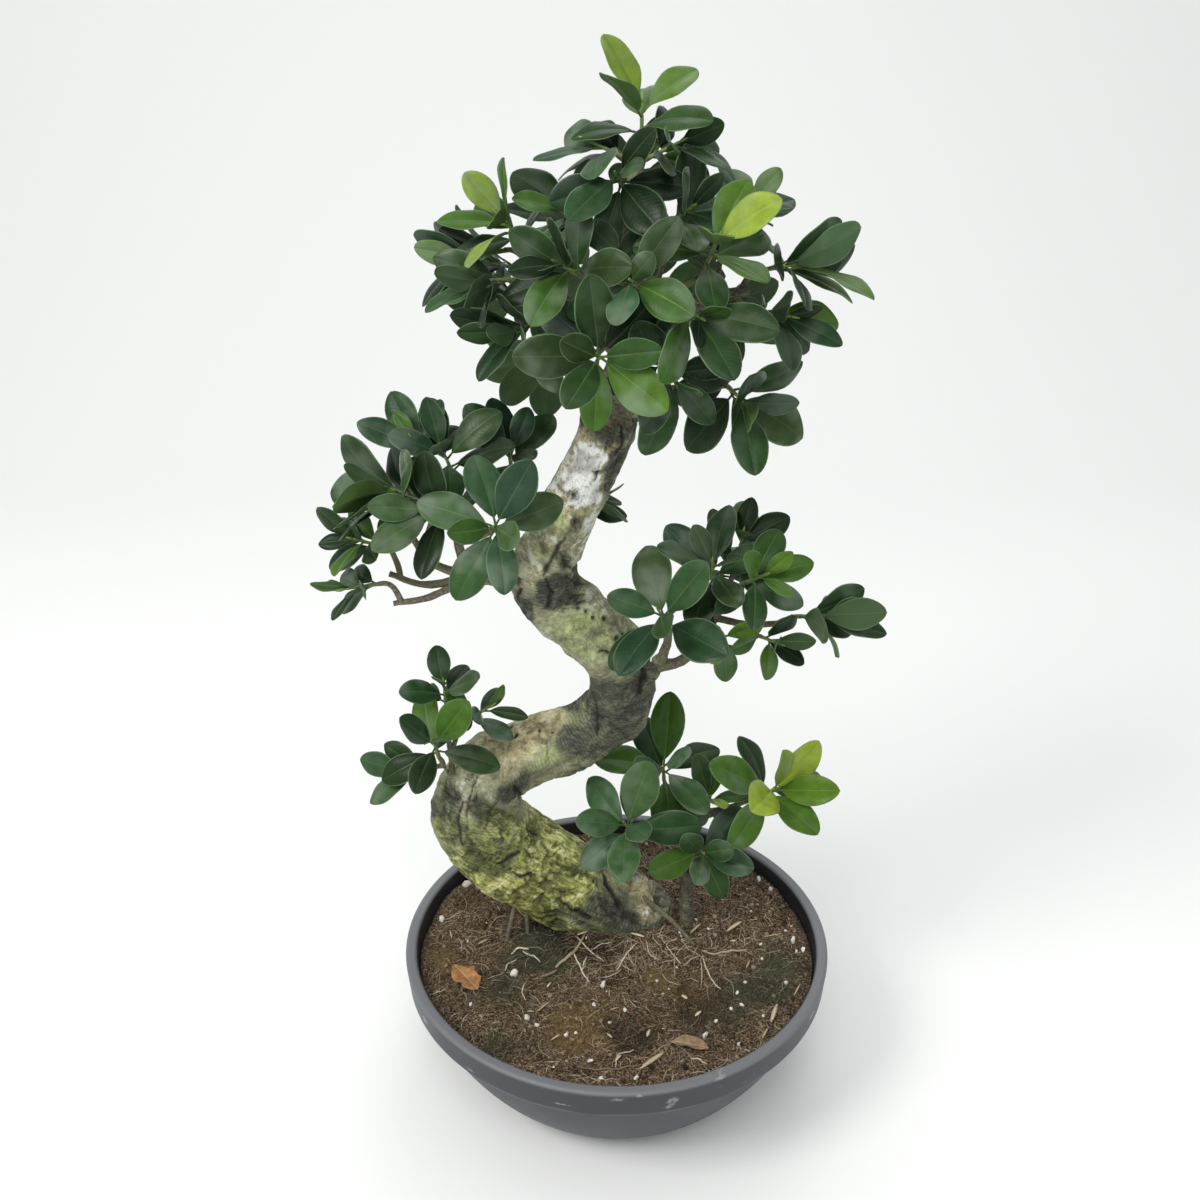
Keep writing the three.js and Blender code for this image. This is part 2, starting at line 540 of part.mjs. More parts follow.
// Whether leaf a's edges come too close to leaf b's faces; leaves of one shoot may meet at their roots.
function reaches(a, b, sameShoot) {
  return b.faces.slice(sameShoot ? 1 : 0).some((face) => {
    const near = ({ p, atRoot }) =>
      !(sameShoot && atRoot) && Math.abs(height(face, p)) < CLEAR.blade && within(face, p, CLEAR.edge);
    if (a.probes.some(near)) return true;
    const heights = a.points.map((p) => height(face, p));
    return LEAF_EDGES.some(([i, j]) => {
      if ((sameShoot && (i === 0 || j === 0)) || heights[i] * heights[j] >= 0) return false;
      const p = a.points[i].clone().lerp(a.points[j], heights[i] / (heights[i] - heights[j]));
      return within(face, p, CLEAR.edge);
    });
  });
}

function meetsWood(leaf, ball) {
  const reach = ball.r + CLEAR.wood;
  if (leaf.middle.distanceTo(ball.p) > leaf.reach + reach) return false;
  if (leaf.probes.some(({ p }) => p.distanceTo(ball.p) < reach)) return true;
  return leaf.faces.some((face) => Math.abs(height(face, ball.p)) < reach && within(face, ball.p, ball.r));
}

const meetsBowl = (leaf) =>
  leaf.points.some((p) => p.z < CLEAR.bowlTop && Math.hypot(p.x, p.y) < CLEAR.bowlSide);

// One leaf of a shoot: its place in the spiral, tried at one of the small shifts.
function spiralLeaf(shoot, i, [turnBy, tiltBy, lengthShare]) {
  const share = i / (shoot.leaves - 1);
  const draw = (what) => chance(shoot.number * CHANCE.shoot + i * CHANCE.leaf + CHANCE[what]) - 0.5;
  const reference = UP.clone().addScaledVector(VIEWER, LEAF.facePull);
  const first = reference.addScaledVector(shoot.axis, -reference.dot(shoot.axis)).normalize();
  const second = shoot.axis.clone().cross(first);
  const turn = radians(shoot.turn + GOLDEN_ANGLE * i + turnBy + WOBBLE.turn * draw("turn"));
  const tilt = radians(mix(LEAF.spreadLow, LEAF.spreadTop, share) + tiltBy + WOBBLE.tilt * draw("tilt"));
  const outward = first.clone().multiplyScalar(Math.cos(turn)).addScaledVector(second, Math.sin(turn));
  const direction = shoot.axis.clone().multiplyScalar(Math.cos(tilt)).addScaledVector(outward, Math.sin(tilt));
  const upper = shoot.axis.clone().multiplyScalar(Math.sin(tilt)).addScaledVector(outward, -Math.cos(tilt));
  upper.addScaledVector(UP, LEAF.lightPull).addScaledVector(VIEWER, shoot.far ? -LEAF.facePull : LEAF.facePull);
  const levelled = LEAF.levelling * Math.abs(shoot.axis.x);
  const rise = direction.z;
  direction.addScaledVector(UP, -levelled * rise).addScaledVector(shoot.axis, levelled * Math.abs(rise));
  direction.normalize();
  upper.addScaledVector(direction, -upper.dot(direction)).normalize();
  upper.applyAxisAngle(direction, radians(WOBBLE.roll * draw("roll")));
  const swell = Math.sin(Math.PI * (LEAF_SIZE.start + LEAF_SIZE.reach * share));
  const size = LEAF_SIZE.least + LEAF_SIZE.gain * swell + WOBBLE.length * draw("length");
  const last = share > LEAF_SIZE.lastFrom && shoot.freshness < LEAF_SIZE.young ? LEAF_SIZE.last : 1;
  const length = shoot.length * size * lengthShare * last;
  const width = length * LEAF.widthShare * (1 + WOBBLE.width * draw("width"));
  const bend = radians(mix(LEAF.bendLow, LEAF.bendTop, share) * (1 + WOBBLE.bend * draw("bend")));
  const up = mix(...STEM.leafy, share);
  const root = shoot.foot.clone().addScaledVector(shoot.axis, STEM.length * up);
  root.addScaledVector(outward, mix(STEM.root, STEM.tip, up) * STEM.seat);
  return leafAt(root, direction, upper, length, width, bend);
}

// Places every leaf, shoot by shoot, and leaves out one that finds no room.
function placeLeaves(shoots, wood) {
  const placed = [];
  for (const shoot of shoots)
    for (let i = 0; i < shoot.leaves; i++)
      for (const shift of TRIES) {
        const corners = spiralLeaf(shoot, i, shift);
        const leaf = outlineOf(corners);
        const neighbours = placed.filter(
          (other) => other.leaf.middle.distanceTo(leaf.middle) < other.leaf.reach + leaf.reach + CLEAR.blade,
        );
        const touches = (other) => {
          const same = other.shoot === shoot;
          return reaches(leaf, other.leaf, same) || reaches(other.leaf, leaf, same);
        };
        const blocked =
          meetsBowl(leaf) ||
          neighbours.some(touches) ||
          wood.some((ball) => ball.shoot !== shoot && meetsWood(leaf, ball));
        if (blocked) continue;
        placed.push({ shoot, corners, leaf });
        break;
      }
  return placed;
}

function leafSolid(corners) {
  const skin = (offset) => corners.map(({ p, face }) => p.clone().addScaledVector(face, offset));
  const points = [...skin(LEAF.thickness / 2), ...skin(-LEAF.thickness / 2)];
  const n = corners.length;
  const triangles = [...LEAF_FACES, ...LEAF_FACES.map(([a, b, c]) => [a + n, c + n, b + n])];
  for (let i = 0; i < n; i++) {
    const j = (i + 1) % n;
    triangles.push([i, j, j + n], [i, j + n, i + n]);
  }
  return solidOf(points, triangles);
}

function stemLine(shoot) {
  const at = (mm) => shoot.foot.clone().addScaledVector(shoot.axis, mm);
  return [
    { p: at(STEM.gap), r: STEM.root },
    { p: at(STEM.length), r: STEM.tip },
  ];
}

function makeShoot(shoot, placed) {
  const stem = tube(stemLine(shoot), STEM.sides);
  const leaves = placed.filter((one) => one.shoot === shoot).map((one) => leafSolid(one.corners));
  const material = shoot.freshness > YOUNG_FROM ? "youngLeaf" : "leaf";
  return meshOf(shoot.name, wasm.Manifold.union([stem, ...leaves]), material);
}

// A dry leaf lying on the soil, let down until some point along its edges all but touches it.
function makeFallenLeaf(name, { x, y, turn, length, width, material }, soil) {
  const direction = vector(Math.sin(radians(turn)), -Math.cos(radians(turn)), 0);
  const root = vector(x, y, 0).addScaledVector(direction, -length / 2);
  const corners = leafAt(root, direction, UP, length, width, FALLEN_BEND);
  const drops = outlineOf(corners).probes.map(({ p }) => {
    const above = vector(p.x, p.y, BOWL.height * 2);
    return new THREE.Raycaster(above, UP.clone().negate()).intersectObject(soil)[0].point.z - p.z;
  });
  const lift = Math.max(...drops) + LEAF.thickness / 2 + SOIL.gap;
  corners.forEach(({ p }) => (p.z += lift));
  return meshOf(name, leafSolid(corners), material);
}

const shoots = allShoots();
const wood = makeWood(shoots);
const woodBalls = [
  ...ballsAlong(TRUNK_LINE).map((ball) => ({ ...ball, r: ball.r * (1 + 2 * TRUNK.knot) })),
  ...Object.keys(LIMBS).flatMap((name) => ballsAlong(LIMBS[name])),
  ...farLimbNames(shoots).flatMap((name) => ballsAlong(limbLine(name, true))),
  ...ballsAlong(SIDE_STEM),
  ...shoots.flatMap((shoot) => ballsAlong(twigLine(shoot))),
  ...shoots.flatMap((shoot) =>
    ballsAlong(stemLine(shoot).map(({ p, r }) => [p.x, p.y, p.z, r])).map((ball) => ({ ...ball, shoot })),
  ),
];
const placed = placeLeaves(shoots, woodBalls);

const plant = new THREE.Group();
const soil = makeSoil(wasm.Manifold.union(makeFoot(SOIL.gap)));
plant.add(makeBowl(), soil, meshOf("trunk", wood, "bark"));
for (const shoot of shoots) plant.add(makeShoot(shoot, placed));
for (const [name, leaf] of Object.entries(FALLEN_LEAVES)) plant.add(makeFallenLeaf(name, leaf, soil));
export default plant;
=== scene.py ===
# Ginseng ficus in its bowl: fine leaves, bark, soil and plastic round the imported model.
import math

import bmesh
import bpy
import numpy as np
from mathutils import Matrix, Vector
from mathutils.bvhtree import BVHTree


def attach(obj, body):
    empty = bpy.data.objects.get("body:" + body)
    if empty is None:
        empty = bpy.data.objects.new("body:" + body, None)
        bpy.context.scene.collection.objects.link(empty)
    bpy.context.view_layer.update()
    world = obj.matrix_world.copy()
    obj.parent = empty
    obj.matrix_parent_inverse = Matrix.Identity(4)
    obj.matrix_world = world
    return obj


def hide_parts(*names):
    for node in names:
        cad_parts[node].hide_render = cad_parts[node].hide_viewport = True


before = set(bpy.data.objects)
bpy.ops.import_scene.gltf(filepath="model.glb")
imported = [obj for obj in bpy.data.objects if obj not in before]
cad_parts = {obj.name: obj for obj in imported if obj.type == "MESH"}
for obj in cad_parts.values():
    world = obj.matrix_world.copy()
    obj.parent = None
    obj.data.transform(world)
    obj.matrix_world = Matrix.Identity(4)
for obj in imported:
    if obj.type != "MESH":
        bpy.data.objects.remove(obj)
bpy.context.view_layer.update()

# Lengths below are millimetres in the model's frame; meshes are made in metres.
MM = 0.001

# The camera that sees the plant as the photograph does, in metres and degrees.
CAMERA = {
    "place": (-0.0141, -0.8772, 0.8516), "pitch": 64.9, "lens": 38.4, "sensor": 36.0, "pixels": 1200,
    "clip": (0.01, 100),
}
CAMERA_SCALE = CAMERA["pixels"] * CAMERA["lens"] / CAMERA["sensor"]

BOWL = {
    "height": 124, "rim": 180, "rim_width": 10, "rim_round": 2.5, "taper": 2, "band": 24, "step": 5,
    "base": 110, "base_edge": 4, "belly": 148, "belly_height": 36, "wall": 4, "floor": 5,
}
DRAIN = {"count": 5, "radius": 6, "circle": 70}
SOIL = {
    "edge": 110, "mound": 9, "spread": 75, "middle_x": 18, "middle_y": 42, "gap": 0.35,
    "lump": 1.6, "across": 9, "along": 11, "slanted": 17, "shift": 1, "guess": 4,
}

# Centre line of the trunk and leader: x, y, z and radius, from the root crown to the top of the plant.
TRUNK_LINE = [
    [18, 42, 109, 35], [-14, 41, 127, 36], [-53, 40, 149, 37], [-92, 36, 184, 38], [-119, 30, 228, 38],
    [-108, 28, 266, 34], [-74, 30, 287, 29], [-35, 33, 301, 26], [-3, 33, 325, 27], [4, 28, 358, 26],
    [-5, 20, 390, 25], [-30, 12, 420, 25], [-52, 8, 445, 26], [-56, 6, 469, 24], [-45, 5, 496, 21],
    [-30, 4, 524, 20], [-19, 2, 551, 20], [-10, 0, 574, 20], [-2, 0, 596, 18], [4, 0, 625, 14],
    [6, 1, 660, 11], [7, 2, 693, 8], [8, 3, 732, 5], [11, 2, 763, 3.4],
]
ROOTS = [
    [[16, 42, 122, 33], [20, 43, 98, 35], [22, 44, 60, 22]],
    [[28, 38, 116, 20], [42, 30, 104, 12], [54, 20, 90, 8]],
    [[0, 30, 116, 22], [-10, 10, 104, 10], [-16, -4, 92, 6]],
    [[10, 60, 118, 22], [20, 88, 108, 12], [28, 104, 94, 7]],
    [[-50, 44, 130, 22], [-66, 52, 108, 13], [-76, 60, 88, 7]],
]
THIN_ROOTS = [
    [[-84, 26, 160, 2.2], [-90, 10, 134, 1.8], [-97, 2, 104, 1.5]],
    [[-78, 26, 156, 2.2], [-78, 14, 134, 1.8], [-77, 12, 104, 1.5]],
    [[20, 32, 140, 2.8], [50, 8, 128, 1.9], [77, -10, 104, 1.4]],
]
SIDE_STEM = [
    [24, 40, 92, 13], [50, 30, 94, 10], [61, 28, 112, 8.5], [62, 30, 141, 7.6], [63, 32, 166, 7],
    [64, 34, 196, 6], [63, 36, 216, 5],
]
CROWN_AXIS = {"x": 8, "y": 2, "far_side": 0.86}
LIMBS = {
    "leader": [[7, 2, 693, 8], [8, 3, 732, 5], [11, 2, 762, 3.4]],
    "crownLeft": [[3, 0, 628, 6], [-30, -8, 656, 4.2], [-64, -12, 682, 3]],
    "crownFront": [[5, 0, 632, 6], [-3, -30, 648, 4.2], [-10, -58, 650, 3]],
    "crownRight": [[7, 2, 655, 5.5], [46, -8, 668, 4], [86, -12, 676, 3]],
    "crownLowRight": [[0, 0, 600, 6], [34, -18, 608, 4], [62, -32, 616, 3]],
    "crownFrontRight": [[6, 2, 668, 5.5], [20, -32, 678, 4], [32, -56, 684, 3]],
    "left": [[-50, 7, 462, 12], [-90, -6, 462, 6.5], [-114, -12, 466, 4.6]],
    "leftUp": [[-113, -12, 465, 4.2], [-116, -20, 492, 3.4], [-120, -24, 512, 2.8]],
    "leftMiddle": [[-110, -12, 466, 3.8], [-136, -17, 478, 3], [-150, -20, 500, 2.6]],
    "leftLow": [[-110, -12, 465, 3.8], [-144, -10, 458, 2.8], [-171, -4, 464, 2.3]],
    "leftLower": [[-112, -12, 464, 3.4], [-140, -19, 452, 2.5], [-166, -26, 450, 2.1]],
    "leftBack": [[-48, 10, 476, 8], [-60, 22, 500, 4.4], [-70, 24, 520, 3]],
    "right": [[2, 24, 356, 11], [22, 15, 366, 6.6], [34, 9, 385, 5]],
    "rightLeft": [[33, 10, 382, 4.4], [37, 0, 402, 3.6], [38, -8, 420, 3]],
    "rightLong": [[32, 10, 378, 4.8], [52, 6, 388, 4], [68, 4, 414, 3.4], [82, 3, 438, 3]],
    "rightLow": [[74, 4, 424, 3.2], [98, 0, 420, 2.6], [124, -2, 422, 2.2]],
    "rightLower": [[64, 5, 408, 3.2], [84, -3, 402, 2.4], [100, -6, 402, 2.1]],
    "low": [[-100, 26, 262, 9], [-130, 8, 274, 4.6], [-142, 2, 294, 3.2]],
    "sideLeft": [[63, 36, 212, 5], [48, 38, 226, 3.6], [43, 42, 240, 3]],
    "sideFront": [[63, 34, 190, 5], [48, 22, 206, 3.6], [30, 12, 216, 3]],
    "sideRight": [[63, 35, 212, 5], [76, 32, 224, 4], [100, 32, 232, 3.2]],
}
TWIG = {"root": 2.4, "end": 1.8, "reach": 0.4, "straight": 26}

# Leafy shoots: limb, centre x, y, z, azimuth (0 towards -Y, 90 towards +X) and elevation of the shoot's tip,
# number of leaves, leaf length, turn of the first leaf about the shoot, and how much new growth it carries.
SHOOTS = {
    "crown_top": ["leader", 13, 0, 779, 5, 86, 7, 48, 143, 0.9],
    "crown_leader_left": ["leader", -8, -6, 764, -86, 24, 7, 44, 20, 0.1],
    "crown_leader_right": ["leader", 26, -8, 764, 60, 26, 7, 41, 190, 0.1],
    "crown_leader_front": ["leader", -2, -24, 748, -10, 22, 7, 45, 175, 0],
    "crown_leader_back": ["leader", 14, 28, 746, 170, 24, 6, 42, 40, 0.1],
    "crown_high_left": ["leader", -32, -22, 724, -46, 34, 8, 44, 10, 0.2],
    "crown_high_right": ["leader", 36, -24, 724, 44, 34, 8, 44, 70, 0.2],
    "crown_left_top": ["crownLeft", -70, -13, 714, -56, 46, 9, 45, 30, 0.7],
    "crown_left_end": ["crownLeft", -92, 0, 698, -90, -8, 9, 48, 30, 0.3],
    "crown_left_middle": ["crownLeft", -82, -32, 686, -70, 2, 9, 47, 90, 0],
    "crown_left_low": ["crownLeft", -60, -38, 658, -58, -14, 9, 47, 85, 0.3],
    "crown_front_left": ["crownFront", -32, -62, 698, -36, 26, 8, 45, 15, 0],
    "crown_front": ["crownFront", -15, -86, 650, 2, 8, 9, 50, 35, 0.4],
    "crown_front_low": ["crownLowRight", 30, -68, 636, 16, -20, 8, 48, 110, 0],
    "crown_right_low": ["crownLowRight", 76, -46, 614, 34, -20, 9, 50, 45, 0.3],
    "crown_right_front": ["crownFrontRight", 55, -58, 706, 22, 52, 8, 48, 0, 0.8],
    "crown_middle": ["crownFrontRight", 6, -78, 694, -8, 16, 8, 46, 60, 0],
    "crown_front_right": ["crownFrontRight", 42, -84, 676, 20, 0, 9, 47, 80, 0],
    "crown_right_end": ["crownRight", 107, -14, 692, 76, 12, 10, 53, 40, 0.3],
    "crown_right_middle": ["crownRight", 98, -38, 666, 62, -4, 9, 47, 50, 0.2],
    "crown_right_top": ["crownRight", 80, 4, 718, 54, 56, 8, 43, 35, 0.2],
    "left_front": ["leftUp", -86, -60, 524, 0, 24, 8, 50, 8, 0.4],
    "left_end": ["leftMiddle", -154, -20, 534, -78, 24, 11, 54, 60, 0.4],
    "left_middle": ["leftUp", -126, -46, 530, -36, 22, 9, 50, 70, 0.1],
    "left_top": ["leftUp", -124, 4, 548, -34, 62, 9, 50, 35, 0.1],
    "left_back": ["leftBack", -80, 22, 541, 14, 66, 8, 48, 60, 0.1],
    "left_low_end": ["leftLow", -184, -6, 490, -54, 26, 7, 37, 40, 0.1],
    "left_lowest": ["leftLower", -186, -26, 464, -64, 2, 7, 32, 55, 0.2],
    "left_behind": ["leftBack", -30, 48, 500, 105, 12, 6, 38, 20, 0.4],
    "right_left": ["rightLeft", 34, -26, 436, -30, 50, 8, 56, 0, 0.2],
    "right_top": ["rightLong", 70, -4, 464, -8, 60, 9, 46, 28, 0.4],
    "right_high": ["rightLong", 92, 18, 476, 10, 66, 7, 38, 40, 0.1],
    "right_middle": ["rightLong", 99, -18, 466, 36, 34, 8, 40, 65, 0.7],
    "right_end": ["rightLow", 146, -2, 428, 84, 4, 9, 48, 35, 0.3],
    "right_low": ["rightLower", 112, -12, 414, 30, 10, 6, 32, 80, 0.3],
    "right_under": ["rightLong", 77, -22, 422, 6, 6, 4, 35, 50, 1],
    "right_back": ["rightLong", 84, 36, 452, 150, 30, 7, 42, 80, 0.1],
    "low_front": ["low", -144, -10, 315, -4, 56, 8, 46, -20, 0.3],
    "low_top": ["low", -137, 10, 352, 4, 70, 7, 38, 35, 0.2],
    "low_right": ["low", -112, 14, 333, 66, 40, 6, 32, 0, 0.3],
    "low_under": ["low", -164, -6, 292, -64, 4, 6, 42, 50, 0],
    "side_front": ["sideFront", 9, -2, 234, -20, 50, 8, 54, 25, 0.1],
    "side_left": ["sideLeft", 40, 46, 258, -6, 58, 8, 56, 35, 0],
    "side_middle": ["sideRight", 78, 40, 230, 10, 56, 7, 38, 70, 0.5],
    "side_right": ["sideRight", 128, 32, 247, 30, 42, 9, 54, -28, 0.9],
    "side_low": ["sideFront", 70, 2, 208, 4, 30, 8, 44, 55, 0.2],
    "left_rise": ["leftMiddle", -143, 8, 554, -34, 56, 9, 45, 20, 0.2],
}
# The far side of the crown repeats these near shoots, turned half round its axis.
FAR_SHOOTS = [
    "crown_left_low", "crown_front_left", "crown_front", "crown_right_low",
    "crown_right_front", "crown_front_right", "crown_right_end", "crown_right_middle",
]
FAR = {"drop": 6, "turn": 70, "fewer": 1, "freshness": 0.4}

STEM = {"length": 28, "below": 0.5, "root": 1.8, "tip": 0.8, "seat": 0.4, "gap": 0.35, "leafy": (0.2, 0.9)}
LEAF = {
    "width_share": 0.44, "stations": (0.36, 0.8), "widest": 0.58, "wedge": 1.1, "corner": 1.05,
    "spread_low": 82, "spread_top": 30, "bend_low": 42, "bend_top": 18,
    "light_pull": 0.35, "face_pull": 0.3, "levelling": 0.75,
}
LEAF_SIZE = {
    "least": 0.92, "gain": 0.2, "start": 0.15, "reach": 0.75, "last": 0.8, "last_from": 0.85, "young": 0.8,
}
WOBBLE = {"turn": 22, "tilt": 22, "roll": 56, "length": 0.22, "width": 0.2, "bend": 1}
CHANCE = {"shoot": 97, "leaf": 7, "turn": 1, "tilt": 2, "length": 3, "width": 4, "bend": 5, "roll": 6}
GOLDEN_ANGLE = 137.5
# What a leaf tries until it is clear of its neighbours: turn and tilt in degrees, then share of its length.
TRIES = [
    (0, 0, 1), (11, 0, 1), (-11, 0, 1), (0, 10, 1), (0, -10, 1), (20, 6, 1), (-20, 6, 1), (20, -8, 0.93),
    (-20, -8, 0.93), (0, 20, 0.9), (0, -20, 0.9), (32, 0, 0.88), (-32, 0, 0.88), (40, 12, 0.82),
    (-40, 12, 0.82), (0, -30, 0.8), (16, 0, 0.66), (-16, 0, 0.66), (0, 0, 0.55),
]
CLEAR = {
    "blade": 1.3, "edge": 1.6, "wood": 0.9, "bowl_top": 132, "bowl_side": 186, "step": 3, "middle": 0.55,
    "swelling": 0.05,
}

UP = np.array([0.0, 0.0, 1.0])
VIEWER = np.array([0.0, -1.0, 0.0])


def unit(v):
    return v / np.linalg.norm(v, axis=-1, keepdims=True)


def mix(a, b, t):
    return a + (b - a) * t


def chance(n):
    """A number from 0 to 1 that looks random and is the same on every run."""
    s = math.sin(n * 12.9898 + 78.233) * 43758.5453
    return s - math.floor(s)


# Where the shoots and their twigs are
def shoot_direction(azimuth, elevation):
    a, e = math.radians(azimuth), math.radians(elevation)
    return np.array([math.sin(a) * math.cos(e), -math.cos(a) * math.cos(e), math.sin(e)])


def all_shoots():
    """Every shoot with its place worked out, the near ones first and then the far side of the crown."""
    keys = ("limb", "x", "y", "z", "azimuth", "elevation", "leaves", "length", "turn", "freshness")
    near = [{"name": name, "far": False, **dict(zip(keys, row))} for name, row in SHOOTS.items()]
    far = []
    for name in FAR_SHOOTS:
        shoot = next(s for s in near if s["name"] == name)
        far.append({
            **shoot, "name": name + "_far", "far": True,
            "x": CROWN_AXIS["x"] - (shoot["x"] - CROWN_AXIS["x"]) * CROWN_AXIS["far_side"],
            "y": CROWN_AXIS["y"] - (shoot["y"] - CROWN_AXIS["y"]),
            "z": shoot["z"] - FAR["drop"],
            "azimuth": shoot["azimuth"] + 180, "turn": shoot["turn"] + FAR["turn"],
            "leaves": shoot["leaves"] - FAR["fewer"], "freshness": shoot["freshness"] * FAR["freshness"],
        })
    shoots = near + far
    for number, shoot in enumerate(shoots):
        shoot["number"] = number
        shoot["axis"] = shoot_direction(shoot["azimuth"], shoot["elevation"])
        at = np.array([shoot["x"], shoot["y"], shoot["z"]], float)
        shoot["foot"] = at + shoot["axis"] * (-STEM["length"] * STEM["below"])
    return shoots


def limb_line(name, far):
    """A limb's line, turned half round the crown's axis for the far side."""
    if not far:
        return LIMBS[name]
    cx, cy, side = CROWN_AXIS["x"], CROWN_AXIS["y"], CROWN_AXIS["far_side"]
    first, *rest = LIMBS[name]
    return [first] + [[cx - (x - cx) * side, 2 * cy - y, z - FAR["drop"], r] for x, y, z, r in rest]


def balls_along(line):
    """Points and radii close together along a line, which stand for the wood when leaves look for room."""
    rows = []
    for a, b in zip(line, line[1:]):
        a, b = np.array(a, float), np.array(b, float)
        count = math.ceil(np.linalg.norm(b[:3] - a[:3]) / CLEAR["step"])
        rows += [mix(a, b, k / count) for k in range(count + 1)]
    return np.array(rows)


def twig_curve(shoot):
    """The three points of the curve from the nearest stretch of its limb to the foot of its shoot."""
    stretch = balls_along(limb_line(shoot["limb"], shoot["far"]))
    reaches = np.linalg.norm(stretch[:, :3] - shoot["foot"], axis=1)
    nearest = int(np.argmin(reaches))
    back = math.floor(reaches[nearest] * TWIG["reach"] / CLEAR["step"] + 0.5)
    start = stretch[max(0, nearest - back), :3]
    reach = np.linalg.norm(shoot["foot"] - start)
    return start, shoot["foot"] - shoot["axis"] * reach * TWIG["reach"], shoot["foot"]


def on_curve(curve, t):
    a, b, c = curve
    return (1 - t) ** 2 * a + 2 * (1 - t) * t * b + t * t * c


def twig_line(shoot):
    curve = twig_curve(shoot)
    steps = 1 if np.linalg.norm(curve[2] - curve[0]) < TWIG["straight"] else 2
    shares = [i / steps for i in range(steps + 1)]
    return [[*on_curve(curve, t), mix(TWIG["root"], TWIG["end"], t)] for t in shares]


def stem_line(shoot):
    foot, tip = (shoot["foot"] + shoot["axis"] * mm for mm in (STEM["gap"], STEM["length"]))
    return [[*foot, STEM["root"]], [*tip, STEM["tip"]]]


# Where each leaf finds room
EDGES = np.array([[0, 1], [1, 2], [2, 3], [3, 4], [4, 5], [5, 0], [1, 5], [1, 4], [2, 4]])
FACES = np.array([[0, 5, 1], [1, 5, 4], [1, 4, 2], [2, 4, 3]])
EDGE_AT_ROOT = (EDGES == 0).any(1)


def leaf_outline(t):
    """Half the leaf's width as a share of its largest: a wedge, then a round end."""
    if t < LEAF["widest"]:
        return math.sin(math.pi / 2 * (t / LEAF["widest"])) ** LEAF["wedge"]
    return math.sqrt(1 - ((t - LEAF["widest"]) / (1 - LEAF["widest"])) ** 2)


def along_leaf(leaf, t):
    """A point of the midrib and the face direction there, at a share t of the leaf's length."""
    turn = leaf["bend"] * t
    out = leaf["length"] * np.sin(turn) / leaf["bend"]
    drop = leaf["length"] * (1 - np.cos(turn)) / leaf["bend"]
    out, drop, turn = (np.asarray(v)[..., None] for v in (out, drop, turn))
    p = leaf["root"] + leaf["direction"] * out - leaf["upper"] * drop
    return p, leaf["upper"] * np.cos(turn) + leaf["direction"] * np.sin(turn)


def outline_of(leaf):
    """The corners, edge points and faces of a leaf, as the solids have it."""
    side = np.cross(leaf["direction"], leaf["upper"])
    p, _ = along_leaf(leaf, np.array([0.0, *LEAF["stations"], 1.0]))
    halves = [leaf["width"] / 2 * leaf_outline(t) * LEAF["corner"] for t in LEAF["stations"]]
    points = np.array([
        p[0], p[1] - side * halves[0], p[2] - side * halves[1], p[3], p[2] + side * halves[1],
        p[1] + side * halves[0],
    ])
    probes, at_root = [], []
    for (i, j), root in zip(EDGES, EDGE_AT_ROOT):
        count = math.ceil(np.linalg.norm(points[j] - points[i]) / CLEAR["step"])
        probes += [mix(points[i], points[j], k / count) for k in range(count)]
        at_root += [root] * count
    middle = mix(points[0], points[3], CLEAR["middle"])
    corners = points[FACES]
    normal = unit(np.cross(corners[:, 1] - corners[:, 0], corners[:, 2] - corners[:, 0]))
    inward = unit(np.cross(normal[:, None], np.roll(corners, -1, 1) - corners))
    return {
        "points": points, "probes": np.array(probes), "at_root": np.array(at_root), "middle": middle,
        "reach": np.linalg.norm(points - middle, axis=1).max(), "corners": corners, "normal": normal,
        "inward": inward,
    }


def inside(p, corners, inward, margin):
    """Whether points lie over faces, widened by a margin."""
    return (((p[..., None, :] - corners) * inward).sum(-1) >= -margin).all(-1)


def too_close(probes, skip_probe, starts, ends, skip_edge, corners, normal, inward, skip_face):
    """Whether edge points or edges of leaves come too close to faces; what may touch is skipped."""
    heights = ((probes[:, None] - corners[None, :, 0]) * normal).sum(-1)
    near = (np.abs(heights) < CLEAR["blade"]) & inside(probes[:, None], corners, inward, CLEAR["edge"])
    if (near & ~skip_probe & ~skip_face).any():
        return True
    at_start = ((starts[:, None] - corners[None, :, 0]) * normal).sum(-1)
    at_end = ((ends[:, None] - corners[None, :, 0]) * normal).sum(-1)
    crossing = (at_start * at_end < 0) & ~skip_edge & ~skip_face
    share = np.where(crossing, at_start / np.where(crossing, at_start - at_end, 1), 0)[..., None]
    cut = starts[:, None] + (ends - starts)[:, None] * share
    return (crossing & inside(cut, corners, inward, CLEAR["edge"])).any()


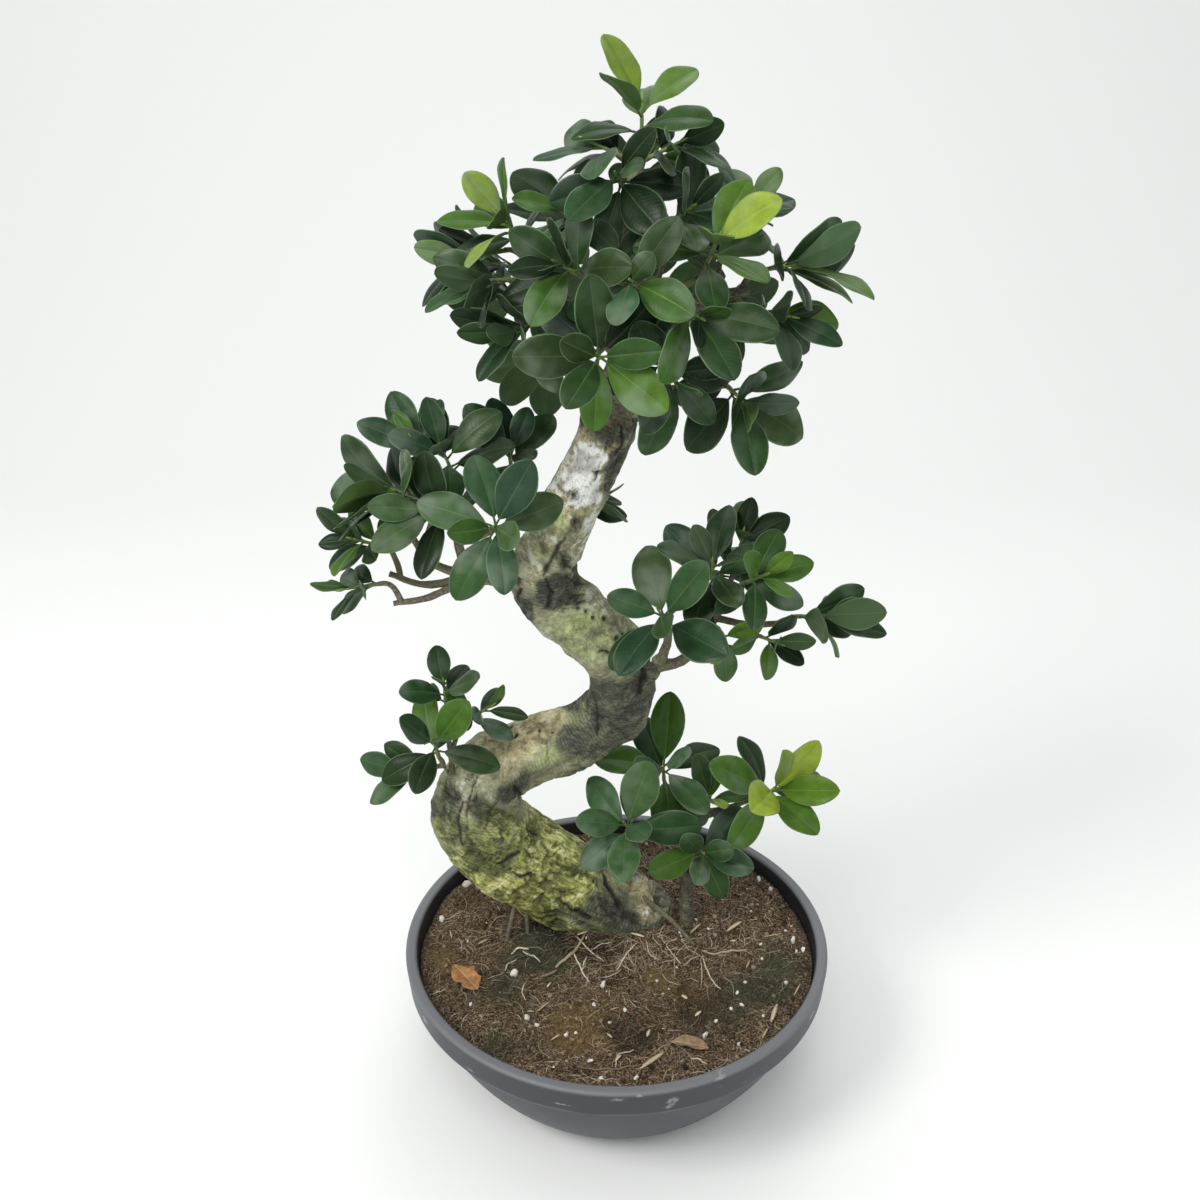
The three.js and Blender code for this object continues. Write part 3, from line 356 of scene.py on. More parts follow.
def meets_leaves(leaf, same, others):
    """Whether a leaf comes too close to others; same says which of them are of its own shoot."""
    if not others:
        return False
    first_face = np.arange(4) == 0
    corners = np.concatenate([o["corners"] for o in others])
    normal = np.concatenate([o["normal"] for o in others])
    inward = np.concatenate([o["inward"] for o in others])
    face_same = np.repeat(same, 4)
    skip_face = np.tile(first_face, len(others)) & face_same
    starts, ends = leaf["points"][EDGES[:, 0]], leaf["points"][EDGES[:, 1]]
    if too_close(
        leaf["probes"], leaf["at_root"][:, None] & face_same, starts, ends, EDGE_AT_ROOT[:, None] & face_same,
        corners, normal, inward, skip_face,
    ):
        return True
    counts = [len(o["probes"]) for o in others]
    probes = np.concatenate([o["probes"] for o in others])
    probe_same = np.repeat(same, counts)
    at_root = np.concatenate([o["at_root"] for o in others])
    starts = np.concatenate([o["points"][EDGES[:, 0]] for o in others])
    ends = np.concatenate([o["points"][EDGES[:, 1]] for o in others])
    edge_same = np.repeat(same, len(EDGES))
    edge_root = np.tile(EDGE_AT_ROOT, len(others))
    return too_close(
        probes, (probe_same & at_root)[:, None] | (probe_same[:, None] & first_face),
        starts, ends, (edge_same & edge_root)[:, None] | (edge_same[:, None] & first_face),
        leaf["corners"], leaf["normal"], leaf["inward"], np.zeros(4, bool),
    )


def meets_wood(leaf, balls, radii):
    reach = radii + CLEAR["wood"]
    near = np.linalg.norm(balls - leaf["middle"], axis=1) <= leaf["reach"] + reach
    balls, radii, reach = balls[near], radii[near], reach[near]
    if (np.linalg.norm(leaf["probes"][:, None] - balls, axis=-1) < reach).any():
        return True
    heights = ((balls[:, None] - leaf["corners"][None, :, 0]) * leaf["normal"]).sum(-1)
    over = inside(balls[:, None], leaf["corners"], leaf["inward"], radii[:, None, None])
    return ((np.abs(heights) < reach[:, None]) & over).any()


def meets_bowl(leaf):
    p = leaf["points"]
    return ((p[:, 2] < CLEAR["bowl_top"]) & (np.hypot(p[:, 0], p[:, 1]) < CLEAR["bowl_side"])).any()


def spiral_leaf(shoot, i, shift):
    """One leaf of a shoot: its place in the spiral, tried at one of the small shifts."""
    turn_by, tilt_by, length_share = shift
    share = i / (shoot["leaves"] - 1)

    def draw(what):
        return chance(shoot["number"] * CHANCE["shoot"] + i * CHANCE["leaf"] + CHANCE[what]) - 0.5

    axis = shoot["axis"]
    reference = UP + VIEWER * LEAF["face_pull"]
    first = unit(reference - axis * (reference @ axis))
    second = np.cross(axis, first)
    turn = math.radians(shoot["turn"] + GOLDEN_ANGLE * i + turn_by + WOBBLE["turn"] * draw("turn"))
    spread = mix(LEAF["spread_low"], LEAF["spread_top"], share)
    tilt = math.radians(spread + tilt_by + WOBBLE["tilt"] * draw("tilt"))
    outward = first * math.cos(turn) + second * math.sin(turn)
    direction = axis * math.cos(tilt) + outward * math.sin(tilt)
    upper = axis * math.sin(tilt) - outward * math.cos(tilt)
    pull = -LEAF["face_pull"] if shoot["far"] else LEAF["face_pull"]
    upper = upper + UP * LEAF["light_pull"] + VIEWER * pull
    levelled = LEAF["levelling"] * abs(axis[0])
    rise = direction[2]
    direction = unit(direction - UP * levelled * rise + axis * levelled * abs(rise))
    upper = unit(upper - direction * (upper @ direction))
    roll = math.radians(WOBBLE["roll"] * draw("roll"))
    upper = upper * math.cos(roll) + np.cross(direction, upper) * math.sin(roll)
    swell = math.sin(math.pi * (LEAF_SIZE["start"] + LEAF_SIZE["reach"] * share))
    size = LEAF_SIZE["least"] + LEAF_SIZE["gain"] * swell + WOBBLE["length"] * draw("length")
    is_last = share > LEAF_SIZE["last_from"] and shoot["freshness"] < LEAF_SIZE["young"]
    length = shoot["length"] * size * length_share * (LEAF_SIZE["last"] if is_last else 1)
    width = length * LEAF["width_share"] * (1 + WOBBLE["width"] * draw("width"))
    bend = math.radians(mix(LEAF["bend_low"], LEAF["bend_top"], share) * (1 + WOBBLE["bend"] * draw("bend")))
    up = mix(*STEM["leafy"], share)
    seat = outward * mix(STEM["root"], STEM["tip"], up) * STEM["seat"]
    root = shoot["foot"] + axis * STEM["length"] * up + seat
    return {
        "root": root, "direction": direction, "upper": upper, "length": length, "width": width, "bend": bend,
        "share": share, "shoot": shoot,
    }


def wood_balls(shoots):
    """Points and radii of all the wood, and the number of the shoot that each stem's belong to."""
    trunk = balls_along(TRUNK_LINE)
    trunk[:, 3] *= 1 + 2 * CLEAR["swelling"]
    far_limbs = dict.fromkeys(s["limb"] for s in shoots if s["far"])
    shared = [
        trunk, *[balls_along(line) for line in LIMBS.values()],
        *[balls_along(limb_line(name, True)) for name in far_limbs], balls_along(SIDE_STEM),
        *[balls_along(twig_line(s)) for s in shoots],
    ]
    stems = [balls_along(stem_line(s)) for s in shoots]
    owner = [-1] * sum(map(len, shared)) + [s["number"] for s, stem in zip(shoots, stems) for _ in stem]
    return np.concatenate(shared + stems), np.array(owner)


def place_leaves(shoots):
    """Places every leaf, shoot by shoot, and leaves out one that finds no room."""
    wood, owner = wood_balls(shoots)
    placed, outlines, middles = [], [], np.zeros((0, 3))
    reaches, numbers = np.zeros(0), np.zeros(0, int)
    for shoot in shoots:
        other_wood = wood[owner != shoot["number"]]
        for i in range(shoot["leaves"]):
            for shift in TRIES:
                leaf = spiral_leaf(shoot, i, shift)
                outline = outline_of(leaf)
                gaps = np.linalg.norm(middles - outline["middle"], axis=1)
                close = np.nonzero(gaps < reaches + outline["reach"] + CLEAR["blade"])[0]
                same = numbers[close] == shoot["number"]
                if meets_bowl(outline) or meets_leaves(outline, same, [outlines[k] for k in close]):
                    continue
                if meets_wood(outline, other_wood[:, :3], other_wood[:, 3]):
                    continue
                placed.append(leaf)
                outlines.append(outline)
                middles = np.vstack([middles, outline["middle"]])
                reaches = np.append(reaches, outline["reach"])
                numbers = np.append(numbers, shoot["number"])
                break
    return placed


# Smooth random fields in plain arithmetic, the same on every run.

# Whole numbers that turn a cell's place and a seed into a number that looks random.
HASH = {
    "x": 374761393, "y": 668265263, "z": 2147483647, "seed": 974711,
    "first": 1274126177, "second": 2246822519, "most": 4294967295.0,
}
# Farther than any point of a cell pattern is from the nearest cell point, in cells.
FAR_AWAY = 9.0


def lattice(cells, seed):
    """A number from 0 to 1 for each whole-numbered cell."""
    x, y, z = (cells[..., k].astype(np.int64).astype(np.uint32) for k in range(3))
    h = x * np.uint32(HASH["x"]) + y * np.uint32(HASH["y"]) + z * np.uint32(HASH["z"])
    h = h + np.uint32(seed * HASH["seed"])
    h = (h ^ (h >> np.uint32(13))) * np.uint32(HASH["first"])
    h = (h ^ (h >> np.uint32(16))) * np.uint32(HASH["second"])
    return (h ^ (h >> np.uint32(15))) / HASH["most"]


def field(points, size, seed=0):
    """A smooth random field from -1 to 1 whose waves are about this many millimetres long."""
    p = np.asarray(points, float) / size
    cell = np.floor(p)
    part = p - cell
    part = part * part * (3 - 2 * part)
    total = np.zeros(p.shape[:-1])
    for corner in np.ndindex(2, 2, 2):
        weight = np.prod(np.where(corner, part, 1 - part), -1)
        total += weight * lattice(cell + corner, seed)
    return 2 * total - 1


def layered(points, size, layers, seed=0):
    return sum(field(points, size / 2 ** k, seed + k) / 2 ** k for k in range(layers))


def cells_of(points, size, seed=0):
    """Cell pattern: the distance to the nearest cell point, and that cell's random number."""
    p = np.asarray(points, float) / size
    cell = np.floor(p)
    nearest = np.full(len(p), FAR_AWAY)
    number = np.zeros(len(p))
    for step in np.ndindex(3, 3, 3):
        other = cell + np.array(step) - 1
        at = other + np.stack([lattice(other, seed + k) for k in range(3)], -1)
        away = np.linalg.norm(at - p, axis=1)
        number = np.where(away < nearest, lattice(other, seed + 3), number)
        nearest = np.minimum(nearest, away)
    return nearest * size, number


def step_up(x, low, high):
    """A smooth step from 0 at the low value to 1 at the high one."""
    t = np.clip((x - low) / (high - low), 0, 1)
    return t * t * (3 - 2 * t)


# Meshes
class Shapes:
    """Gathers the points, faces and values of many small closed shapes that make one mesh."""

    def __init__(self):
        self.points, self.faces, self.values, self.count = [], [], {}, 0

    def add(self, points, faces, **values):
        points = np.asarray(points, float).reshape(-1, 3)
        self.points.append(points)
        self.faces += [tuple(int(i) + self.count for i in face) for face in faces]
        for name, value in values.items():
            value = np.broadcast_to(np.asarray(value, float), (len(points), 3))
            self.values.setdefault(name, []).append(value)
        self.count += len(points)

    def piece(self, name, material, slot, nodes=()):
        values = {key: np.concatenate(rows) for key, rows in self.values.items()}
        return make_piece(name, np.concatenate(self.points), self.faces, material, nodes, values)


# The least radius that a tube gets, in millimetres.
LEAST_RADIUS = 0.3
# A direction that no tube runs along: the rings of every tube start from it.
RING_START = np.array([0.31, 0.87, 0.12])


def put_vectors(mesh, values):
    """Keeps named vectors of the mesh's points, which its material reads."""
    for key, value in values.items():
        attribute = mesh.attributes.new(key, "FLOAT_VECTOR", "POINT")
        attribute.data.foreach_set("vector", np.ascontiguousarray(value, np.float32).ravel())


def make_piece(name, points, faces, material, nodes=(), values=None):
    """A piece of the plant or its bowl, from points in millimetres; it replaces the nodes named."""
    mesh = bpy.data.meshes.new(name)
    mesh.from_pydata((np.asarray(points) * MM).tolist(), [], faces)
    put_vectors(mesh, values or {})
    mesh.shade_smooth()
    mesh.update()
    mesh.materials.append(material)
    piece = bpy.data.objects.new(name, mesh)
    bpy.context.scene.collection.objects.link(piece)
    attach(piece, "root")
    if nodes:
        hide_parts(*nodes)
    return piece


def grid_faces(rows, columns, closed):
    """Quads between rows of points; a closed grid also joins each row's end to its start."""
    i, k = np.meshgrid(np.arange(rows - 1), np.arange(columns if closed else columns - 1), indexing="ij")
    a = i * columns + k
    b = i * columns + (k + 1) % columns
    return np.stack([a, b, b + columns, a + columns], -1).reshape(-1, 4)


def end_caps(rows, sides):
    """The two faces that close a tube of rings."""
    return [list(range(sides))[::-1], [(rows - 1) * sides + k for k in range(sides)]]


def curve_through(line, steps):
    """Points and radii along a smooth curve through rows of x, y, z and radius."""
    rows = np.array(line, float)
    ends = np.vstack([2 * rows[0] - rows[1], rows, 2 * rows[-1] - rows[-2]])
    t = np.linspace(0, len(rows) - 1, (len(rows) - 1) * steps + 1)
    i = np.minimum(t.astype(int), len(rows) - 2)
    t = (t - i)[:, None]
    p0, p1, p2, p3 = (ends[i + k] for k in range(4))
    m1, m2 = (p2 - p0) / 2, (p3 - p1) / 2
    at = p1 + m1 * t + (3 * (p2 - p1) - 2 * m1 - m2) * t ** 2 + (2 * (p1 - p2) + m1 + m2) * t ** 3
    return at[:, :3], np.maximum(at[:, 3], LEAST_RADIUS)


def tube(points, radii, sides):
    """A closed tube round a line of points."""
    directions = unit(np.gradient(points, axis=0))
    normal = RING_START
    turns = np.arange(sides) * 2 * math.pi / sides
    rings = []
    for p, r, direction in zip(points, radii, directions):
        normal = unit(normal - direction * (normal @ direction))
        across = np.cross(direction, normal)
        rings.append(p + r * (np.cos(turns)[:, None] * normal + np.sin(turns)[:, None] * across))
    faces = grid_faces(len(points), sides, True).tolist() + end_caps(len(points), sides)
    return np.array(rings).reshape(-1, 3), faces


# Materials. Colours are linear red, green and blue; ramps give each colour's place from 0 to 1.
COLOURS = {
    "stem_dark": (0.10, 0.20, 0.04), "stem_light": (0.20, 0.32, 0.07), "branch_moss": (0.15, 0.17, 0.06),
}
# Colours laid over others, with how far each hides what is under it.
COVERS = {
    # Sheen: a painted glossy highlight, lighter and greyer, laid on the leaves.
    "painted_sheen": ((0.20, 0.25, 0.19), 0.55), "vein": ((0.22, 0.30, 0.12), 0.3),
    "leaf_edge": ((0.15, 0.23, 0.12), 0.7), "underside": ((0.085, 0.145, 0.065), 0.5),
    # Dark moss and shade: partly darker moss and partly painted shade on the moss.
    # Pit: near-black painted shade in the bark's cracks, pits, creases and moss seams.
    "dark_moss_and_shade": ((0.050, 0.056, 0.024), 0.75), "pit": ((0.012, 0.010, 0.007), 0.93),
    "wet_soil": ((0.014, 0.011, 0.009), 0.75), "golden_litter": ((0.30, 0.205, 0.085), 0.4),
    # Rim highlight: lighter grey painted where light catches the rim's top and the band's lower edge.
    "mossy_litter": ((0.055, 0.060, 0.032), 0.6), "painted_rim_highlight": ((0.20, 0.205, 0.22), 0.65),
    # Bowl inside: near-black painted shade on the inside wall and painted shadow at the foot.
    "scuff": ((0.40, 0.41, 0.43), 0.42), "bowl_inside": ((0.009, 0.009, 0.010), 0.85),
    "dry_rib": ((0.50, 0.34, 0.18), 0.5),
}
RAMPS = {
    # Old leaf colour: deep painted shade at 0, lit leaves at 1; the top stops are a painted glossy highlight.
    "old_leaf": [
        (0.0, (0.008, 0.016, 0.008)), (0.3, (0.024, 0.045, 0.019)), (0.65, (0.053, 0.088, 0.040)),
        (0.82, (0.092, 0.138, 0.070)), (1.0, (0.21, 0.27, 0.15)),
    ],
    "leaf_tint": [
        (0.0, (0.97, 1.0, 0.8)), (0.4, (0.82, 1.14, 0.7)), (0.7, (0.7, 1.06, 0.85)), (1.0, (0.78, 1.0, 1.35)),
    ],
    "new_leaf": [
        (0.0, (0.024, 0.066, 0.014)), (0.5, (0.045, 0.112, 0.013)), (0.8, (0.075, 0.152, 0.013)),
        (1.0, (0.25, 0.34, 0.035)),
    ],
    "leaf_cloud": [(0.3, (0.78, 0.78, 0.78)), (0.7, (1.2, 1.2, 1.2))],
    "woody_stem": [(0.3, (0.10, 0.075, 0.045)), (0.7, (0.22, 0.18, 0.11))],
    "bark": [
        (0.15, (0.16, 0.155, 0.095)), (0.4, (0.28, 0.28, 0.17)), (0.6, (0.38, 0.385, 0.245)),
        (0.85, (0.50, 0.51, 0.36)),
    ],
    "rust": [
        (0.15, (0.15, 0.115, 0.068)), (0.4, (0.32, 0.28, 0.155)), (0.6, (0.46, 0.42, 0.235)),
        (0.85, (0.57, 0.53, 0.34)),
    ],
    "chalk": [(0.1, (0.34, 0.33, 0.28)), (0.3, (0.62, 0.62, 0.58)), (0.55, (0.80, 0.81, 0.79))],
    # Dark bark colour, which also serves as painted shade.
    "dark_bark_and_shade": [(0.15, (0.020, 0.021, 0.018)), (0.5, (0.042, 0.047, 0.033)), (0.85, (0.102, 0.108, 0.080))],
    "algae": [
        (0.15, (0.115, 0.132, 0.048)), (0.4, (0.235, 0.275, 0.108)), (0.6, (0.345, 0.40, 0.175)),
        (0.85, (0.47, 0.53, 0.28)),
    ],
    "moss": [
        (0.2, (0.055, 0.064, 0.015)), (0.42, (0.152, 0.166, 0.035)), (0.62, (0.315, 0.335, 0.080)),
        (0.85, (0.66, 0.66, 0.31)),
    ],
    "bark_lines": [(0.0, (1.06, 1.06, 1.06)), (1.0, (0.68, 0.68, 0.68))],
    # Relief shade and light: the colour times the small relief's height, painted shade on low bark and
    # painted light on raised bark.
    "relief_shade_and_light": [(0.05, (0.42, 0.41, 0.38)), (0.45, (0.96, 0.96, 0.95)), (1.0, (1.22, 1.22, 1.22))],
    "branch": [(0.3, (0.055, 0.042, 0.030)), (0.5, (0.13, 0.105, 0.078)), (0.7, (0.27, 0.235, 0.18))],
    "earth": [
        (0.38, (0.012, 0.007, 0.005)), (0.47, (0.070, 0.045, 0.028)), (0.55, (0.22, 0.152, 0.095)),
        (0.64, (0.50, 0.40, 0.28)),
    ],
    "golden_earth": [(0.35, (0.045, 0.030, 0.014)), (0.5, (0.16, 0.112, 0.048)), (0.68, (0.36, 0.28, 0.13))],
    "mossy_earth": [(0.35, (0.020, 0.023, 0.014)), (0.55, (0.080, 0.082, 0.048)), (0.7, (0.19, 0.19, 0.12))],
    "worn_litter": [(0.3, (0.7, 0.7, 0.7)), (0.7, (1.15, 1.15, 1.15))],
    "plastic": [(0.35, (0.028, 0.032, 0.040)), (0.65, (0.037, 0.042, 0.051))],
    "dry_brown": [(0.35, (0.10, 0.065, 0.038)), (0.65, (0.28, 0.20, 0.13))],
    "dry_orange": [(0.35, (0.20, 0.085, 0.030)), (0.6, (0.42, 0.21, 0.075)), (0.75, (0.55, 0.31, 0.12))],
    "coir": [
        (0.0, (0.018, 0.010, 0.007)), (0.35, (0.125, 0.074, 0.042)), (0.7, (0.38, 0.265, 0.165)),
        (1.0, (0.75, 0.65, 0.49)),
    ],
    "fine_roots": [(0.0, (0.13, 0.085, 0.05)), (0.6, (0.42, 0.34, 0.24)), (1.0, (0.68, 0.62, 0.50))],
    "crumbs": [(0.0, (0.022, 0.014, 0.009)), (0.7, (0.16, 0.105, 0.064)), (1.0, (0.42, 0.33, 0.22))],
    "perlite": [(0.0, (0.48, 0.45, 0.39)), (1.0, (0.82, 0.80, 0.74))],
    "straw": [(0.0, (0.085, 0.055, 0.038)), (0.5, (0.33, 0.22, 0.12)), (1.0, (0.72, 0.60, 0.42))],
}
# Noises: waves in a metre, detail and roughness.
NOISES = {
    "leaf_cloud": (90.0, 3.0, 0.55), "leaf_wander": (260.0, 1.0, 0.55), "painted_sheen_patch": (38.0, 2.0, 0.55),
    "leaf_shine": (45.0, 3.0, 0.55), "leaf_grain": (700.0, 3.0, 0.55), "stem_wood": (300.0, 3.0, 0.55),
    "stem_grain": (900.0, 3.0, 0.55), "broad": (45.0, 4.0, 0.55), "middle": (140.0, 4.0, 0.6),
    "fine": (320.0, 4.0, 0.65), "speck": (650.0, 3.0, 0.6), "streak": (330.0, 3.0, 0.6),
    "pores": (500.0, 5.0, 0.65), "branch_moss": (120.0, 3.0, 0.55), "earth": (650.0, 6.0, 0.75),
    "soil_broad": (40.0, 4.0, 0.55), "litter": (900.0, 3.0, 0.55), "plastic_grain": (1400.0, 3.0, 0.55),
    "plastic_cloud": (16.0, 4.0, 0.55), "scraped": (300.0, 5.0, 0.75), "blotch": (170.0, 4.0, 0.65),
}
# Where a value starts to count and where it counts in full, then what it gives there if not 0 and 1.
RANGES = {
    "noise": (0.34, 0.66), "new_leaf": (0.2, 0.6), "rib": (0.15, -0.2), "vein": (0.10, 0.0),
    "rib_shows": (0.0, 0.5, 0.42, 0.75), "painted_sheen_patch": (0.42, 0.68), "leaf_edge": (0.91, 0.97),
    "leaf_shine": (0.3, 0.75, 0.27, 0.42), "rusty": (0.3, 0.8), "chalky": (0.6, 1.15),
    "dark_and_shaded": (0.5, 1.05, 0.0, 0.92), "crusty": (0.42, 0.78), "mossy": (0.5, 0.98, 0.0, 0.92),
    "line": (-0.2, 0.9), "wrinkles": (0.4, 1.1), "pit_shade": (0.1, 0.8), "bark_rough": (0.0, 1.0, 0.95, 0.7),
    "branch_moss": (0.4, 0.6), "golden": (0.6, 1.1), "soil_moss": (0.6, 1.3), "wet": (0.55, 1.2),
    "scuff": (1.38, 1.72), "plastic_rough": (0.3, 0.7, 0.42, 0.52), "dry_rib": (0.8, 0.25),
}
# How high each material's fine relief is, in metres, and how strongly it shows.
BUMPS = {
    "waxy_leaf": (0.00025, 0.6), "green_stem": (0.0002, 1.0), "mossy_bark": (0.0014, 0.8),
    "branch_bark": (0.0009, 0.8), "potting_soil": (0.0022, 1.0), "litter": (0.0003, 1.0),
    "slate_plastic": (0.0002, 0.5), "dry_leaf": (0.0008, 1.0),
}
# What the bark's patterns are mixed from, with each part's weight.
BARK_MIXES = {
    "mottle": {"broad": 0.25, "middle": 0.3, "fine": 0.2, "streak": 0.13, "speck": 0.12},
    "rusty": {"warm": 1.0, "middle": 0.35}, "chalk": {"middle": 0.3, "fine": 0.4, "speck": 0.3},
    "chalky": {"pale": 1.0, "broad": 0.2, "middle": 0.4, "fine": 0.25},
    "dark_bark_and_shade": {"middle": 0.4, "streak": 0.4, "speck": 0.2}, "dark_and_shaded": {"dark": 1.0, "middle": 0.35, "fine": 0.2},
    "cushion": {"broad": 0.2, "middle": 0.25, "streak": 0.3, "crust": 0.25},
    "mossy": {"moss": 1.0, "broad": 0.25, "middle": 0.3, "fine": 0.15},
    "shift": {"travel": 2100.0, "middle": 2.5, "broad": 7.0}, "wrinkles": {"dark": 1.0, "broad": 0.6},
    "ridges": {"middle": 0.4, "fine": 0.3, "speck": 0.12, "line": -0.15},
}


def add(tree, kind, inputs=None, **settings):
    """A shader node, with its inputs linked or set."""
    node = tree.nodes.new("ShaderNode" + kind)
    for key, value in settings.items():
        setattr(node, key, value)
    for key, value in (inputs or {}).items():
        if isinstance(value, bpy.types.NodeSocket):
            tree.links.new(value, node.inputs[key])
        else:
            node.inputs[key].default_value = value
    return node


def blend(tree, factor, a, b, mode="MIX"):
    node = add(tree, "Mix", data_type="RGBA", blend_type=mode, clamp_factor=True)
    for socket, value in zip((node.inputs[0], node.inputs[6], node.inputs[7]), (factor, a, b)):
        if isinstance(value, bpy.types.NodeSocket):
            tree.links.new(value, socket)
        elif isinstance(value, tuple):
            socket.default_value = (*value, 1)
        else:
            socket.default_value = value
    return node.outputs[2]


def math_node(tree, operation, a, b=0.0, c=0.0):
    return add(tree, "Math", {0: a, 1: b, 2: c}, operation=operation).outputs[0]


def smooth_range(tree, value, name):
    """Stretches a value smoothly over a named range."""
    keys = ("From Min", "From Max", "To Min", "To Max")
    inputs = {"Value": value, **dict(zip(keys, (*RANGES[name], 0.0, 1.0)[:4]))}
    return add(tree, "MapRange", inputs, interpolation_type="SMOOTHSTEP").outputs[0]


def parts_of(tree, name):
    attribute = add(tree, "Attribute", attribute_name=name)
    return add(tree, "SeparateXYZ", {0: attribute.outputs["Vector"]}).outputs


def noise_of(tree, place, name):
    scale, detail, roughness = NOISES[name]
    inputs = {"Vector": place, "Scale": scale, "Detail": detail, "Roughness": roughness}
    return add(tree, "TexNoise", inputs).outputs["Fac"]


def weighted(tree, *parts):
    """Adds up values, each times its weight."""
    total = 0.0
    for value, weight in parts:
        total = math_node(tree, "MULTIPLY_ADD", value, weight, total)
    return total


def times(tree, a, b):
    return math_node(tree, "MULTIPLY", a, b)


def ramp(tree, value, name):
    """The colour of a named ramp at a value."""
    node = add(tree, "ValToRGB", {0: value})
    elements = node.color_ramp.elements
    stops = RAMPS[name]
    while len(elements) < len(stops):
        elements.new(0.5)
    for element, (at, colour) in zip(elements, stops):
        element.position = at
        element.color = (*colour, 1)
    return node.outputs["Color"]


def new_material(name, **fixed):
    material = bpy.data.materials.new(name)
    material.use_nodes = True
    tree = material.node_tree
    shader = tree.nodes["Principled BSDF"]
    for key, value in fixed.items():
        shader.inputs[key.replace("_", " ")].default_value = value
    place = add(tree, "TexCoord").outputs["Object"]
    return material, tree, shader, place


def tinted(tree, colour, tint):
    return blend(tree, 1.0, colour, tint, "MULTIPLY")


def cover(tree, under, name, factor=None):
    """Lays a named colour over another, everywhere or where the factor says."""
    colour, share = COVERS[name]
    return blend(tree, share if factor is None else times(tree, factor, share), under, colour)


def bump(tree, shader, height, name):
    distance, strength = BUMPS[name]
    node = add(tree, "Bump", {"Height": height, "Distance": distance, "Strength": strength})
    tree.links.new(node.outputs[0], shader.inputs["Normal"])


def paint(tree, shader, colour, roughness=None):
    """Links the surface's colour, and its roughness where that varies."""
    tree.links.new(colour, shader.inputs["Base Color"])
    if roughness is not None:
        tree.links.new(roughness, shader.inputs["Roughness"])


# A leaf's side veins: how many, how far they slant and wander, how much they show and stand out.
VEINS = {"count": 15.0, "slant": -2.4, "wander": 0.8, "show": 0.10, "relief": -0.35}
# The midrib's half width in millimetres at the leaf's root, and how it narrows.
MIDRIB = {"root": 0.62, "narrows": -0.45}
# How few leaves have a painted sheen, how rough their undersides are, and their grain's share of the relief.
LEAF_SKIN = {"sheen_power": 1.8, "dull": (0.6, 0.6, 0.6), "grain": 0.5}
# How much cloudiness counts where moss grows on the soil, and where the bowl is scraped.
CLOUDINESS = {"moss": 0.8, "scraped": 1.6}


def leaf_material():
    """Waxy green blades with a midrib, faint veins, a pale edge and a dull underside; darker when old, with
    painted shade under other leaves and a painted sheen on a few.
    """
    material, tree, shader, place = new_material("waxy_leaf", IOR=1.45, Specular_IOR_Level=0.17)
    across, along, top = parts_of(tree, "leaf")
    fresh, light, half = parts_of(tree, "tone")
    hue, sheen_share, _ = parts_of(tree, "kind")
    # light is partly a random tone and partly painted shade from leaves above; it picks the old leaf's
    # colour.
    old = tinted(tree, ramp(tree, light, "old_leaf"), ramp(tree, hue, "leaf_tint"))
    colour = blend(tree, smooth_range(tree, fresh, "new_leaf"), old, ramp(tree, fresh, "new_leaf"))
    colour = tinted(tree, colour, ramp(tree, noise_of(tree, place, "leaf_cloud"), "leaf_cloud"))
    away = math_node(tree, "ABSOLUTE", across)
    rib_edge = math_node(tree, "MULTIPLY_ADD", along, MIDRIB["narrows"], MIDRIB["root"])
    rib = smooth_range(tree, math_node(tree, "SUBTRACT", times(tree, away, half), rib_edge), "rib")
    slanted = math_node(tree, "MULTIPLY_ADD", away, VEINS["slant"], times(tree, along, VEINS["count"]))
    wander = math_node(tree, "MULTIPLY_ADD", noise_of(tree, place, "leaf_wander"), VEINS["wander"], slanted)
    wander = math_node(tree, "SUBTRACT", math_node(tree, "FRACT", wander), 0.5)
    vein = smooth_range(tree, math_node(tree, "ABSOLUTE", wander), "vein")
    # A painted sheen: lighter, greyer patches on a few leaves, painted where a glossy reflection would be.
    patch = smooth_range(tree, noise_of(tree, place, "painted_sheen_patch"), "painted_sheen_patch")
    painted_sheen = times(tree, patch, math_node(tree, "POWER", sheen_share, LEAF_SKIN["sheen_power"]))
    colour = blend(tree, painted_sheen, colour, cover(tree, colour, "painted_sheen"))
    pale = cover(tree, colour, "vein")
    colour = blend(tree, times(tree, vein, VEINS["show"]), colour, pale)
    colour = blend(tree, times(tree, rib, smooth_range(tree, fresh, "rib_shows")), colour, pale)
    colour = cover(tree, colour, "leaf_edge", smooth_range(tree, away, "leaf_edge"))
    colour = blend(tree, top, cover(tree, colour, "underside"), colour)
    shine = smooth_range(tree, noise_of(tree, place, "leaf_shine"), "leaf_shine")
    paint(tree, shader, colour, blend(tree, top, LEAF_SKIN["dull"], shine))
    grain = times(tree, noise_of(tree, place, "leaf_grain"), LEAF_SKIN["grain"])
    bump(tree, shader, math_node(tree, "MULTIPLY_ADD", vein, VEINS["relief"], grain), "waxy_leaf")
    return material


def stem_material():
    """Soft green shoots that turn to grey-brown wood lower down."""
    material, tree, shader, place = new_material("green_stem", Roughness=0.5)
    age, random, _ = parts_of(tree, "tone")
    woody = ramp(tree, noise_of(tree, place, "stem_wood"), "woody_stem")
    green = blend(tree, random, COLOURS["stem_dark"], COLOURS["stem_light"])
    paint(tree, shader, blend(tree, age, woody, green))
    bump(tree, shader, noise_of(tree, place, "stem_grain"), "green_stem")
    return material


